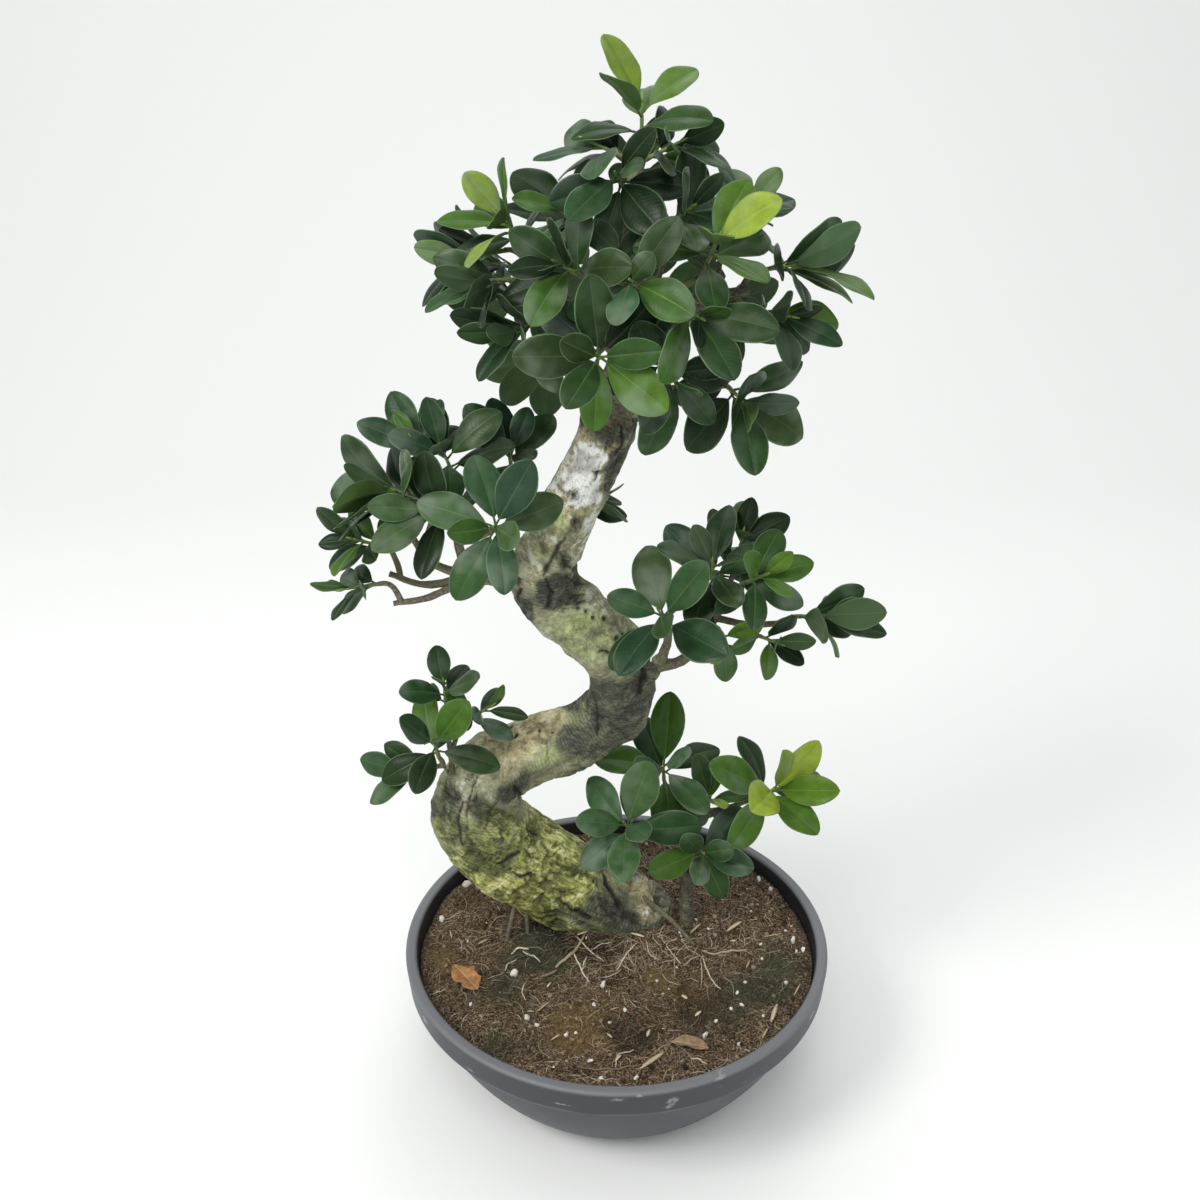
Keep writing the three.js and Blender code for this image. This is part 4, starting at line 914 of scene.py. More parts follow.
def bark_material():
    """Khaki bark with chalky, dark and rusty patches, green algae, wrinkles and a crust of moss. The dark
    patches are partly dark bark, partly painted shade; painted shade fills hollows and low relief, painted
    light the raised relief.
    """
    material, tree, shader, place = new_material("mossy_bark")
    value = dict(zip(("moss", "dark", "pale"), parts_of(tree, "stain")))
    value.update(zip(("hollow_shade", "crust", "warm"), parts_of(tree, "relief")))
    # raised: the small relief's height, which the colour follows as painted shade and light.
    value.update(zip(("raised", "travel"), parts_of(tree, "grain")))
    drawn = add(tree, "Attribute", attribute_name="drawn").outputs["Vector"]
    for name in ("broad", "middle", "fine", "speck", "streak"):
        noise = noise_of(tree, drawn if name == "streak" else place, name)
        value[name] = smooth_range(tree, noise, "noise")

    def mixed(name):
        return weighted(tree, *[(value[key], weight) for key, weight in BARK_MIXES[name].items()])

    def patches(name):
        return smooth_range(tree, mixed(name), name)

    mottle = mixed("mottle")
    colour = blend(tree, patches("rusty"), ramp(tree, mottle, "bark"), ramp(tree, mottle, "rust"))
    colour = blend(tree, patches("chalky"), colour, ramp(tree, mixed("chalk"), "chalk"))
    # Dark patches: partly the bark's own dark colour and partly painted shade.
    colour = blend(tree, patches("dark_and_shaded"), colour, ramp(tree, mixed("dark_bark_and_shade"), "dark_bark_and_shade"))
    crusty = smooth_range(tree, value["moss"], "crusty")
    green = blend(tree, crusty, ramp(tree, mottle, "algae"), ramp(tree, mixed("cushion"), "moss"))
    # Moss darkened by the dark value: partly darker moss and partly painted shade on the moss.
    green = cover(tree, green, "dark_moss_and_shade", value["dark"])
    colour = blend(tree, patches("mossy"), colour, green)
    value["line"] = smooth_range(tree, math_node(tree, "SINE", mixed("shift")), "line")
    wrinkled = tinted(tree, colour, ramp(tree, value["line"], "bark_lines"))
    colour = blend(tree, patches("wrinkles"), colour, wrinkled)
    # Painted shade on low bark and painted light on raised bark, from the small relief's height.
    colour = tinted(tree, colour, ramp(tree, value["raised"], "relief_shade_and_light"))
    # Painted shade in the bark's hollows: cracks, pits, creases and seams between moss clumps.
    colour = cover(tree, colour, "pit", smooth_range(tree, value["hollow_shade"], "pit_shade"))
    paint(tree, shader, colour, smooth_range(tree, value["fine"], "bark_rough"))
    bump(tree, shader, mixed("ridges"), "mossy_bark")
    return material


def branch_material():
    """Thin grey-brown wood with pale pores and a little moss."""
    material, tree, shader, place = new_material("branch_bark", Roughness=0.75)
    green, _, _ = parts_of(tree, "tone")
    fine = noise_of(tree, place, "pores")
    mossy = times(tree, green, smooth_range(tree, noise_of(tree, place, "branch_moss"), "branch_moss"))
    paint(tree, shader, blend(tree, mossy, ramp(tree, fine, "branch"), COLOURS["branch_moss"]))
    bump(tree, shader, fine, "branch_bark")
    return material


def soil_material():
    """Dark brown crumbs and coir with golden, mossy and damp patches."""
    material, tree, shader, place = new_material("potting_soil", Roughness=0.95, Specular_IOR_Level=0.2)
    moss, gold, damp = parts_of(tree, "stain")
    fine = noise_of(tree, place, "earth")
    broad = noise_of(tree, place, "soil_broad")
    golden = smooth_range(tree, math_node(tree, "ADD", gold, broad), "golden")
    colour = blend(tree, golden, ramp(tree, fine, "earth"), ramp(tree, fine, "golden_earth"))
    mossy = math_node(tree, "ADD", moss, times(tree, broad, CLOUDINESS["moss"]))
    colour = blend(tree, smooth_range(tree, mossy, "soil_moss"), colour, ramp(tree, fine, "mossy_earth"))
    wet = smooth_range(tree, math_node(tree, "ADD", damp, broad), "wet")
    paint(tree, shader, cover(tree, colour, "wet_soil", wet))
    bump(tree, shader, fine, "potting_soil")
    return material


def litter_material(name, roughness):
    """Fibres, grains and chips: tone holds each one's shade, and how mossy and golden its place is."""
    material, tree, shader, place = new_material(name, Roughness=roughness, Specular_IOR_Level=0.3)
    shade, moss, gold = parts_of(tree, "tone")
    fine = noise_of(tree, place, "litter")
    colour = cover(tree, ramp(tree, shade, name), "golden_litter", gold)
    colour = cover(tree, colour, "mossy_litter", moss)
    paint(tree, shader, tinted(tree, colour, ramp(tree, fine, "worn_litter")))
    bump(tree, shader, fine, "litter")
    return material


def plastic_material():
    """Satin slate-grey plastic with a fine grain, a few white scuffs, a painted highlight on the rim's top
    and the band's lower edge, and painted shade inside and at the foot.
    """
    material, tree, shader, place = new_material("slate_plastic", IOR=1.46)
    scuff, edge, painted_wall_shade = parts_of(tree, "scuffs_and_painted_light")
    cloud = noise_of(tree, place, "plastic_cloud")
    # edge: painted highlight on the rim's top and the band's lower edge.
    colour = cover(tree, ramp(tree, cloud, "plastic"), "painted_rim_highlight", edge)
    scraped = noise_of(tree, place, "scraped")
    scraped = math_node(tree, "MULTIPLY_ADD", scraped, CLOUDINESS["scraped"], scuff)
    colour = cover(tree, colour, "scuff", smooth_range(tree, scraped, "scuff"))
    # Painted shade on the inside wall and painted shadow at the foot.
    colour = cover(tree, colour, "bowl_inside", painted_wall_shade)
    paint(tree, shader, colour, smooth_range(tree, cloud, "plastic_rough"))
    bump(tree, shader, noise_of(tree, place, "plastic_grain"), "slate_plastic")
    return material


def dry_leaf_material():
    """Crisp dead leaf, from dark brown to orange, with darker blotches and a pale midrib."""
    material, tree, shader, place = new_material("dry_leaf", Roughness=0.8)
    across, _, _ = parts_of(tree, "leaf")
    warm, _, half = parts_of(tree, "tone")
    blotch = noise_of(tree, place, "blotch")
    colour = blend(tree, warm, ramp(tree, blotch, "dry_brown"), ramp(tree, blotch, "dry_orange"))
    rib = smooth_range(tree, times(tree, math_node(tree, "ABSOLUTE", across), half), "dry_rib")
    paint(tree, shader, cover(tree, colour, "dry_rib", rib))
    bump(tree, shader, blotch, "dry_leaf")
    return material


# Leafy shoots
BLADE = {
    "rows": [0, 0.05, 0.12, 0.2, 0.3, 0.4, 0.5, 0.6, 0.69, 0.77, 0.84, 0.9, 0.945, 0.975, 1],
    "columns": [-1, -0.96, -0.78, -0.5, -0.24, -0.08, 0, 0.08, 0.24, 0.5, 0.78, 0.96, 1],
    "stalk": 0.12, "widest": 0.55, "wedge": 0.88, "tip": 0.64, "base": 0.5, "end": 0.12, "broad": 1.06,
    "thickness": 0.56, "thin_edge": 0.7, "rib": 0.4, "rib_thins": 0.8, "groove": 0.15, "rib_share": 0.16,
    "fold": (0.14, 0.42), "fold_draw": 0.1, "recurve": 0.2, "wave": 0.07, "waves": 1.6,
    "twist": 16, "untwisted": 0.2, "sway": 0.09,
}
STALK = {"rows": 5, "sides": 6, "root": 0.95, "end": 0.75, "lead": 0.03, "below": 0.2}
# The values that the leaf material reads on a stalk: across, along and top, then light, which sets the
# painted shade of a leaf's colour, and half width.
STALK_LOOK = {"leaf": (0, 0.1, 1), "light": 0.5, "half": 0.3, "kind": (0.5, 0, 0)}
SPROUT = {
    "rows": 12, "sides": 8, "below": 1.0, "bump": 0.22, "bump_power": 6, "sway": 0.5, "sway_size": 30,
    "woody": 0.25, "bud": 7.5, "bud_least": 0.7, "bud_draw": 0.6, "bud_radius": 1.05, "bud_rows": 6,
    "bud_sides": 7, "bud_from": 0.25, "bud_span": 0.72, "bud_end": 0.03,
}
# How new a leaf looks: a share of its shoot's new growth that rises to the tip, and what some shoots add.
FRESH = {"base": 0.2, "gain": 0.78, "draw": 0.2, "vivid": 0.17, "vivid_gain": 0.42, "dark": ["right_left"]}
GOLDEN = {"crown_right_front": 0.35, "crown_left_top": 0.15, "right_middle": 0.15, "side_right": -0.06}
# Painted shade on leaves: how far above a leaf others shade it, how wide, how many shade it fully, and how
# much that counts.
PAINTED_LEAF_SHADE = {"above": 24, "size": 30, "full": 3.2, "share": 0.6}
# Each random draw of a leaf: what its number is multiplied by, and what is added.
LEAF_DRAW = {"blade": (5, 71), "fresh": (11, 5), "vivid": (13, 3), "light": (5, 355)}


def leaf_chance(number, what):
    factor, added = LEAF_DRAW[what]
    return chance(number * factor + added)


def blade_outline(u):
    """Half the blade's width as a share of its largest, from its stalk to its blunt tip."""
    wedge = np.sin(np.pi / 2 * np.minimum(u / BLADE["widest"], 1)) ** BLADE["wedge"]
    v = np.clip((u - BLADE["widest"]) / (1 - BLADE["widest"]), 0, 1)
    return np.where(u < BLADE["widest"], wedge, (1 - v * v) ** BLADE["tip"])


def blade(leaf, number, fresh, curl=0.0):
    """Points, faces and values of one thin closed blade, folded and curved about its midrib."""
    factor, step = LEAF_DRAW["blade"]
    draw = [chance(number * factor + k * step) for k in range(6)]
    u = np.array(BLADE["rows"], float)
    top = np.array(BLADE["columns"], float)
    s = np.concatenate([top, top[-2:0:-1]])
    upper_side = np.arange(len(s)) < len(top)
    stalk = leaf.get("stalk", BLADE["stalk"])
    p, normal = along_leaf(leaf, stalk + (1 - stalk) * u)
    side = np.cross(leaf["direction"], leaf["upper"])
    angle = math.radians(BLADE["twist"]) * (draw[0] - 0.5) * (u - BLADE["untwisted"])[:, None]
    turned = side * np.cos(angle) + normal * np.sin(angle)
    normal = normal * np.cos(angle) - side * np.sin(angle)
    p = p + side * (leaf["length"] * BLADE["sway"] * (draw[1] - 0.5) * u * u)[:, None]
    half = leaf["width"] / 2 * BLADE["broad"] * blade_outline(u) + mix(BLADE["base"], BLADE["end"], u)
    half = half[:, None]
    away = np.abs(s)
    fold = mix(*BLADE["fold"], fresh) + BLADE["fold_draw"] * (draw[2] - 0.5) + curl
    turns = BLADE["waves"] * u[:, None] + draw[3] + (s > 0) * draw[4]
    wave = BLADE["wave"] * np.sin(2 * np.pi * turns) * s * s
    rise = half * (fold * away - BLADE["recurve"] * away ** 3 + wave)
    near_rib = np.clip(1 - away / BLADE["rib_share"], 0, 1)
    layer = BLADE["thickness"] / 2 * (1 - BLADE["thin_edge"] * away ** 4)
    rib = BLADE["rib"] * (1 - BLADE["rib_thins"] * u)[:, None] * near_rib
    height = rise + np.where(upper_side, layer - BLADE["groove"] * near_rib, -layer - rib)
    points = p[:, None] + turned[:, None] * (half * s)[..., None] + normal[:, None] * height[..., None]
    rows, columns = len(u), len(s)
    faces = grid_faces(rows, columns, True).tolist() + end_caps(rows, columns)
    where = np.broadcast_arrays(s[None], u[:, None], upper_side[None].astype(float))
    tone = np.broadcast_arrays(fresh, leaf.get("light", STALK_LOOK["light"]), half + 0 * s)
    where, tone = (np.stack(parts, -1).reshape(-1, 3) for parts in (where, tone))
    return points.reshape(-1, 3), faces, {"leaf": where, "tone": tone, "kind": (draw[2], draw[5], 0)}


def leaf_stalk(leaf):
    """The leaf's stalk, a little tube from the stem into the start of its blade."""
    t = np.linspace(0, BLADE["stalk"] + STALK["lead"], STALK["rows"])
    p, normal = along_leaf(leaf, t)
    return tube(p - normal * STALK["below"], np.linspace(STALK["root"], STALK["end"], len(t)), STALK["sides"])


def leaf_freshness(leaf, number):
    """How new a leaf looks, from 0 to 1."""
    name, growth = leaf["shoot"]["name"], leaf["shoot"]["freshness"]
    fresh = growth * (FRESH["base"] + FRESH["gain"] * leaf["share"])
    fresh = fresh + FRESH["draw"] * (leaf_chance(number, "fresh") - 0.5)
    fresh += GOLDEN.get(name, 0) * leaf["share"] ** 3
    vivid = name not in FRESH["dark"] and leaf_chance(number, "vivid") < FRESH["vivid"]
    return min(max(fresh + FRESH["vivid_gain"] * vivid, 0.0), 1.0)


def leafy_shoots(shoots, leaves, material):
    """One piece for each leafy shoot, with its blades and their stalks."""
    middles = np.array([along_leaf(leaf, CLEAR["middle"])[0] for leaf in leaves])
    own_painted_shade = math.exp(-(PAINTED_LEAF_SHADE["above"] / PAINTED_LEAF_SHADE["size"]) ** 2)
    for number, leaf in enumerate(leaves):
        leaf["number"], leaf["fresh"] = number, leaf_freshness(leaf, number)
        # Painted shade: the more leaves lie above a leaf, the darker its colour.
        away = np.linalg.norm(middles - middles[number] - leaf["upper"] * PAINTED_LEAF_SHADE["above"], axis=1)
        cover = min(1.0, (np.exp(-(away / PAINTED_LEAF_SHADE["size"]) ** 2).sum() - own_painted_shade) / PAINTED_LEAF_SHADE["full"])
        leaf["light"] = mix(leaf_chance(number, "light"), 1 - cover, PAINTED_LEAF_SHADE["share"])
    for shoot in shoots:
        shapes = Shapes()
        own = [leaf for leaf in leaves if leaf["shoot"]["number"] == shoot["number"]]
        for leaf in own:
            points, faces, values = blade(leaf, leaf["number"], leaf["fresh"])
            shapes.add(points, faces, **values)
            tone = (leaf["fresh"], STALK_LOOK["light"], STALK_LOOK["half"])
            shapes.add(*leaf_stalk(leaf), leaf=STALK_LOOK["leaf"], tone=tone, kind=STALK_LOOK["kind"])
        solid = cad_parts[shoot["name"]].material_slots
        slot = "young_foliage" if "young" in solid[0].name else "foliage"
        shapes.piece("leaves_" + shoot["name"], material, slot, [shoot["name"]])


def shoot_stems(shoots, material):
    """The green stem of each shoot, with a bump at each leaf and a pointed bud at its end."""
    shapes = Shapes()
    for shoot in shoots:
        axis = shoot["axis"]
        t = np.linspace(0, 1, SPROUT["rows"])
        foot = shoot["foot"] - axis * SPROUT["below"]
        points = foot + axis * (t * (STEM["length"] + SPROUT["below"]))[:, None]
        bend = np.array([field(points, SPROUT["sway_size"], 40 + k) for k in range(3)]).T
        radii = mix(STEM["root"], STEM["tip"], t)
        radii = radii * (1 + SPROUT["bump"] * np.sin(t * np.pi * shoot["leaves"]) ** SPROUT["bump_power"])
        age = np.repeat(mix(SPROUT["woody"], 1.0, t), SPROUT["sides"])
        tone = np.stack([age, np.full_like(age, chance(shoot["number"])), age * 0], -1)
        shapes.add(*tube(points + bend * SPROUT["sway"], radii, SPROUT["sides"]), tone=tone)
        tip = points[-1] + bend[-1] * SPROUT["sway"]
        t = np.linspace(0, 1, SPROUT["bud_rows"])
        part = SPROUT["bud_from"] + SPROUT["bud_span"] * t
        radii = SPROUT["bud_radius"] * np.sin(np.pi * part) + SPROUT["bud_end"]
        stretch = SPROUT["bud_least"] + SPROUT["bud_draw"] * chance(shoot["number"] + 0.5)
        bud = tip + axis * (t * SPROUT["bud"] * stretch)[:, None]
        shapes.add(*tube(bud, radii, SPROUT["bud_sides"]), tone=(1.0, 1.0, 0))
    shapes.piece("stems", material, "foliage")


# Wood
WOOD = {
    "trunk_sides": 44, "trunk_steps": 10, "limb_sides": 24, "branch_sides": 10, "branch_steps": 7,
    "twig_rows": 12, "twig_sides": 8, "voxel": 1.56, "smooth": 5,
}
# The trunk's knobs, as the solids have them: their height as a share of the radius and their waves' sizes.
SWELL = {"height": 0.05, "x": 13, "z": 17, "y": 11, "z_back": 13, "x_long": 19, "z_long": 29}
# Farther than any two points are, and the least square of a stretch's length that is divided by.
FAR_OFF = 1e9
LEAST_STRETCH = 1e-9
THICK_LIMBS = ["left", "right", "low"]


def swelling(p):
    """How far the trunk's knobs and hollows stand out, as the solids have it."""
    x, y, z = p[..., 0], p[..., 1], p[..., 2]
    long_wave = np.sin(x / SWELL["x_long"] + z / SWELL["z_long"] + 1)
    sideways = np.sin(x / SWELL["x"] + z / SWELL["z"])
    wave = sideways + np.sin(y / SWELL["y"] - z / SWELL["z_back"] + 2) * long_wave
    return 1 + SWELL["height"] * wave


def ray_through(u, v):
    """Where the camera stands, and the direction in which it sees a pixel of the photograph."""
    pitch = math.radians(CAMERA["pitch"])
    scale = CAMERA["sensor"] / CAMERA["lens"] / CAMERA["pixels"]
    right, up = (u - CAMERA["pixels"] / 2) * scale, (CAMERA["pixels"] / 2 - v) * scale
    ahead = Vector((right, up * math.cos(pitch) + math.sin(pitch), up * math.sin(pitch) - math.cos(pitch)))
    return Vector(CAMERA["place"]) / MM, ahead.normalized()


def on_surface(surface, u, v):
    """The point of a surface that the camera sees at a pixel, or None."""
    place, ahead = ray_through(u, v)
    hit = surface.ray_cast(place, ahead)[0]
    return None if hit is None else np.array(hit)


def on_stretch(points, a, b):
    """For each point, where between a and b it is nearest, from 0 to 1, and how far away that is."""
    along = b - a
    t = np.clip((points - a) @ along / max(along @ along, LEAST_STRETCH), 0, 1)
    return t, np.linalg.norm(points - a - t[:, None] * along, axis=1)


def distance_to(points, line):
    """How far points are from a line of points."""
    return np.min([on_stretch(points, a, b)[1] for a, b in zip(line, line[1:])], axis=0)


def nearest_on(points, line):
    """For each point, where along a line, up to its first repeated point, it is nearest, in rows."""
    best, where = np.full(len(points), FAR_OFF), np.zeros(len(points))
    for i, (a, b) in enumerate(zip(line, line[1:])):
        if np.array_equal(a, b):
            break
        t, away = on_stretch(points, a, b)
        where = np.where(away < best, i + t, where)
        best = np.minimum(best, away)
    return where


# Marks on the trunk by their pixels in the photograph.
# Spots: place, radius in pixels, then how much moss, dark, pale and warm each adds. Their dark is partly dark
# bark and partly painted shade, as at the inner bend, under the base, beside leaves and on the moss's lower
# left.
SPOTS = [
    (584, 493, 17, -0.3, -0.6, 1.1, -0.3), (589, 464, 18, -0.3, -0.6, 1.2, -0.3),
    (574, 480, 13, -0.1, -0.3, 0.4, 0.2), (558, 505, 13, 0.1, -0.1, -0.3, 0.5),
    (556, 524, 14, 0.3, -0.1, -0.3, 0.3), (566, 470, 9, 0, 0, 0.1, 0.7), (623, 457, 14, 0, 0.75, -1.3, 0.4),
    (614, 471, 12, 0, 0.7, -1.9, 0.3), (607, 490, 12, 0, 0.6, -1.9, 0.2),
    (601, 507, 11, 0.1, 0.4, -1.3, 0.1), (597, 518, 13, 0.15, 0.35, -0.8, 0.1),
    (582, 513, 12, 0.2, 0.0, -0.6, 0.1), (634, 430, 12, -0.1, 0.6, -0.8, 0.3),
    (606, 420, 22, -0.2, 0.35, -0.4, 0.8), (584, 418, 9, -0.2, 0.7, -0.7, 0.3),
    (608, 441, 13, -0.1, 0.15, 0.0, 0.8), (580, 440, 10, -0.1, -0.1, 0.1, 0.7),
    (572, 536, 14, 0.35, -0.4, 0, -0.1), (590, 526, 10, 0.1, -0.4, 0.2, 0),
    (578, 552, 10, 0.1, -0.1, 0.15, 0), (556, 560, 9, 0, 0.7, -0.3, 0), (545, 555, 12, 0.3, -0.1, 0, 0.4),
    (528, 572, 17, 0.1, -0.3, 0.05, 0.4), (505, 578, 12, -0.1, 0.5, -0.3, 0.2),
    (522, 606, 13, -0.2, 0.7, -0.5, 0), (553, 590, 17, -0.3, 0.75, -0.6, -0.1),
    (575, 572, 11, -0.2, 0.65, -0.5, 0), (571, 597, 12, -0.2, 0.35, -0.2, 0),
    (590, 595, 9, 0, -0.1, 0.15, 0), (590, 634, 30, 0.36, -1.0, 0.0, -0.3),
    (560, 626, 23, 0.24, -0.8, 0.0, -0.2), (608, 638, 10, 0.05, -0.3, 0, 0), (632, 640, 14, 0, -0.3, 0, 0),
    (605, 672, 13, 0, 0.25, -0.1, 0), (642, 672, 13, 0, 0.6, -0.4, 0), (585, 665, 13, 0.05, -0.1, 0.1, 0),
    (577, 700, 15, -0.3, 0.8, -0.3, 0), (612, 706, 32, -0.15, 0.95, -0.5, -0.2),
    (597, 690, 13, -0.2, 0.6, -0.3, 0), (618, 690, 12, -0.1, 0.3, 0, 0.1), (640, 705, 12, 0.1, 0.3, 0, 0.2),
    (570, 740, 20, -0.1, 0.5, -0.2, 0.2), (600, 760, 20, 0, 0.4, -0.2, 0.2),
    (590, 745, 12, 0, 0.5, -0.2, 0), (513, 738, 25, -0.5, -1.2, -0.1, 0.8),
    (546, 723, 20, -0.2, -1.0, -0.1, 0.7), (506, 730, 6, -0.3, 1.3, 0, 0.3),
    (518, 736, 6, -0.3, 1.3, 0, 0.3), (485, 748, 20, -0.3, -0.8, 0.1, 0.5),
    (547, 752, 14, 0.34, -0.2, 0, -0.2), (570, 756, 10, 0.4, -0.2, 0, 0),
    (505, 765, 14, 0.05, -0.1, 0, 0.5), (527, 772, 12, 0.2, 0.5, -0.2, 0),
    (470, 775, 18, -0.2, -0.3, 0.1, 0.2), (455, 792, 12, -0.2, 0.1, 0.1, 0),
    (484, 808, 15, 0.1, 0.45, -0.2, 0), (449, 801, 14, 0.1, 0.6, -0.3, 0.2),
    (449, 828, 17, 0.1, 0.7, -0.3, 0.2), (492, 816, 18, 0.25, 0.45, -0.2, 0.1),
    (437, 846, 20, -0.6, 0.95, -0.4, 0.3), (452, 862, 14, -0.5, 0.75, -0.1, 0.2),
    (433, 810, 12, -0.4, 0.8, -0.2, 0), (513, 790, 15, -0.3, 0.9, -0.3, 0), (470, 850, 14, 0.1, 0.35, 0, 0),
    (500, 822, 20, 0.3, 0.15, 0, 0), (545, 832, 20, 0.3, 0.15, 0, 0), (478, 868, 16, 0.2, 0.45, 0, 0),
    (500, 893, 10, 0.2, 0.3, 0, 0), (535, 858, 14, 0.2, 0.2, 0, 0), (560, 882, 30, 0.6, -0.6, 0, 0),
    (515, 888, 22, 0.45, -0.3, 0, 0), (505, 862, 13, -0.1, 0.6, 0, 0), (600, 872, 17, -0.1, 0.1, 0, 0.3),
    (588, 850, 14, 0.1, 0.2, 0, 0.1), (480, 850, 16, 0.2, 0.4, 0, 0), (465, 835, 12, 0.1, 0.4, 0, 0),
    (625, 868, 16, -0.3, 0.1, 0.1, 0.3), (604, 912, 22, -0.4, 0.6, -0.3, 0.5),
    (575, 916, 15, -0.3, 0.45, -0.1, 0.1), (648, 906, 12, -0.7, -0.6, 0.2, 0.8),
    (640, 885, 15, -0.5, -0.3, 0.05, 0.6), (552, 912, 14, -0.1, 0.5, 0, 0),
    (630, 923, 12, -0.5, 0.4, 0, 0.3),
]
# Knots and lumps: place, then in millimetres the radius, the ring's or lump's height and the pit's depth.
KNOTS = [
    (597, 473, 5, 0.9, 2.0), (573, 495, 6.2, 1.3, 1.5), (575, 523, 6.0, 1.3, 1.4), (579, 608, 4, 0.5, 2.2),
    (586, 611, 3.2, 0.5, 2.0), (594, 618, 4.4, 0.7, 2.2), (605, 618, 4.2, 0.7, 2.0),
    (617, 638, 5.5, 0.9, 2.0), (623, 634, 4.5, 0.8, 1.8), (500, 730, 5.5, 0.8, 2.2),
    (511, 727, 5, 0.8, 2.2), (516, 736, 5.5, 0.8, 2.2), (539, 731, 4.5, 0.6, 1.8),
    (552, 733, 2.6, 0.3, 1.6), (616, 694, 3, 0.6, 1.0), (624, 697, 2.6, 0.6, 1.0),
    (618, 703, 2.4, 0.5, 1.0), (476, 800, 5, 1.0, 0.4), (566, 906, 8, 1.6, 0.6), (630, 750, 5, 1, 1.6),
    (565, 571, 2.2, 1.0, 0), (624, 444, 6, 2.4, 0), (629, 460, 5, 2.2, 0), (619, 477, 5.5, 2.0, 0),
    (611, 493, 5, 1.0, 0), (632, 430, 5, 1.6, 0), (588, 417, 5, 3.2, 0), (585, 430, 4.5, 2.0, 0),
    (574, 548, 6, -2.2, 0), (505, 577, 7, 2.0, 0), (514, 600, 6, 1.6, 0), (440, 832, 7, 3.2, 0),
    (438, 850, 6, 2.6, 0), (449, 864, 7, 2.6, 0), (435, 815, 6, 2.0, 0), (463, 872, 6, 1.6, 0),
    (512, 783, 6, 2.0, 0), (526, 797, 6, -2.6, 0), (536, 820, 9, 2.4, 0), (556, 838, 9, 2.2, 0),
    (520, 836, 7, 1.4, 0), (504, 846, 8, 1.6, 0), (577, 868, 10, 1.8, 0), (641, 880, 10, 2.4, 0),
    (652, 906, 7, 2.0, 0), (560, 640, 12, 1.6, 0), (626, 688, 9, 1.8, 0), (646, 662, 7, 1.4, 0),
    (600, 738, 10, 1.6, 0), (470, 770, 8, 1.4, 0), (636, 722, 7, 2.0, 0),
]
# A wide knot has a dark ring of painted shade round its pit: the knot's least radius in millimetres, then the
# ring as shares of it.
EYE = {"least": 5.9, "middle": 0.6, "width": 0.25, "dark": 0.6}
# Cracks and ridges: pixels along it, half width and depth in millimetres; a ridge has a depth below nought.
CRACKS = [
    ([(543, 574), (551, 590), (548, 607)], 1.4, 1.8), ([(560, 600), (572, 606), (586, 600)], 1.2, 1.4),
    ([(522, 588), (514, 602), (506, 612)], 1.6, 1.8), ([(565, 575), (576, 583), (588, 583)], 1.2, 1.2),
    ([(589, 469), (597, 474), (606, 469)], 0.8, 1.2), ([(600, 465), (598, 474), (594, 482)], 0.8, 1.2),
    ([(592, 412), (590, 426), (586, 438)], 0.9, 1.2), ([(616, 415), (614, 430), (611, 447)], 1.0, 1.2),
    ([(622, 425), (621, 440), (616, 455)], 1.3, 1.6), ([(628, 470), (620, 485), (610, 503)], 1.0, 1.2),
    ([(571, 622), (574, 627), (577, 632)], 0.7, 1.0), ([(594, 651), (606, 652), (624, 662)], 1.3, 2.0),
    ([(594, 646), (606, 647), (624, 657)], 1.5, -1.2),
    ([(543, 614), (551, 611), (562, 603), (577, 602)], 2.4, -1.8),
    ([(547, 617), (560, 609), (577, 608)], 1.1, 1.0), ([(566, 536), (556, 550), (545, 570)], 1.8, 1.5),
    ([(560, 552), (566, 565), (580, 572)], 1.4, 1.4), ([(548, 586), (553, 594), (550, 604)], 1.5, 1.8),
    ([(566, 590), (576, 596), (586, 594)], 1.2, 1.2), ([(594, 692), (596, 712), (598, 735)], 1.3, 1.6),
    ([(588, 684), (580, 694), (574, 706)], 1.5, 2.0), ([(592, 686), (588, 700), (586, 712)], 1.1, 1.2),
    ([(525, 826), (535, 833), (545, 838)], 1.3, 1.4), ([(523, 845), (531, 856), (540, 860)], 1.2, 1.3),
    ([(541, 852), (552, 856), (560, 849)], 0.9, 1.4), ([(497, 866), (508, 860), (520, 852)], 1.6, 1.8),
    ([(510, 868), (520, 876), (530, 874)], 1.4, 1.8), ([(603, 870), (609, 886), (620, 905)], 2.4, 3.2),
    ([(520, 806), (523, 798), (514, 786)], 2.6, 3.2),
    ([(480, 772), (471, 790), (466, 812), (468, 830)], 1.3, 1.4),
    ([(463, 800), (458, 820), (462, 845)], 1.4, 1.6), ([(560, 900), (572, 912), (590, 920)], 2.0, 2.6),
    ([(584, 440), (588, 456), (585, 470)], 0.8, 0.8), ([(612, 425), (608, 440), (605, 455)], 1.2, 1.2),
    ([(598, 420), (596, 436), (594, 448)], 1.0, 1.0), ([(560, 505), (563, 518), (560, 530)], 1.0, 0.8),
    ([(500, 800), (490, 812), (486, 830)], 1.4, 1.2), ([(505, 605), (520, 618), (534, 622)], 1.4, 1.6),
    ([(640, 655), (644, 672), (640, 692)], 1.6, 2.0),
]
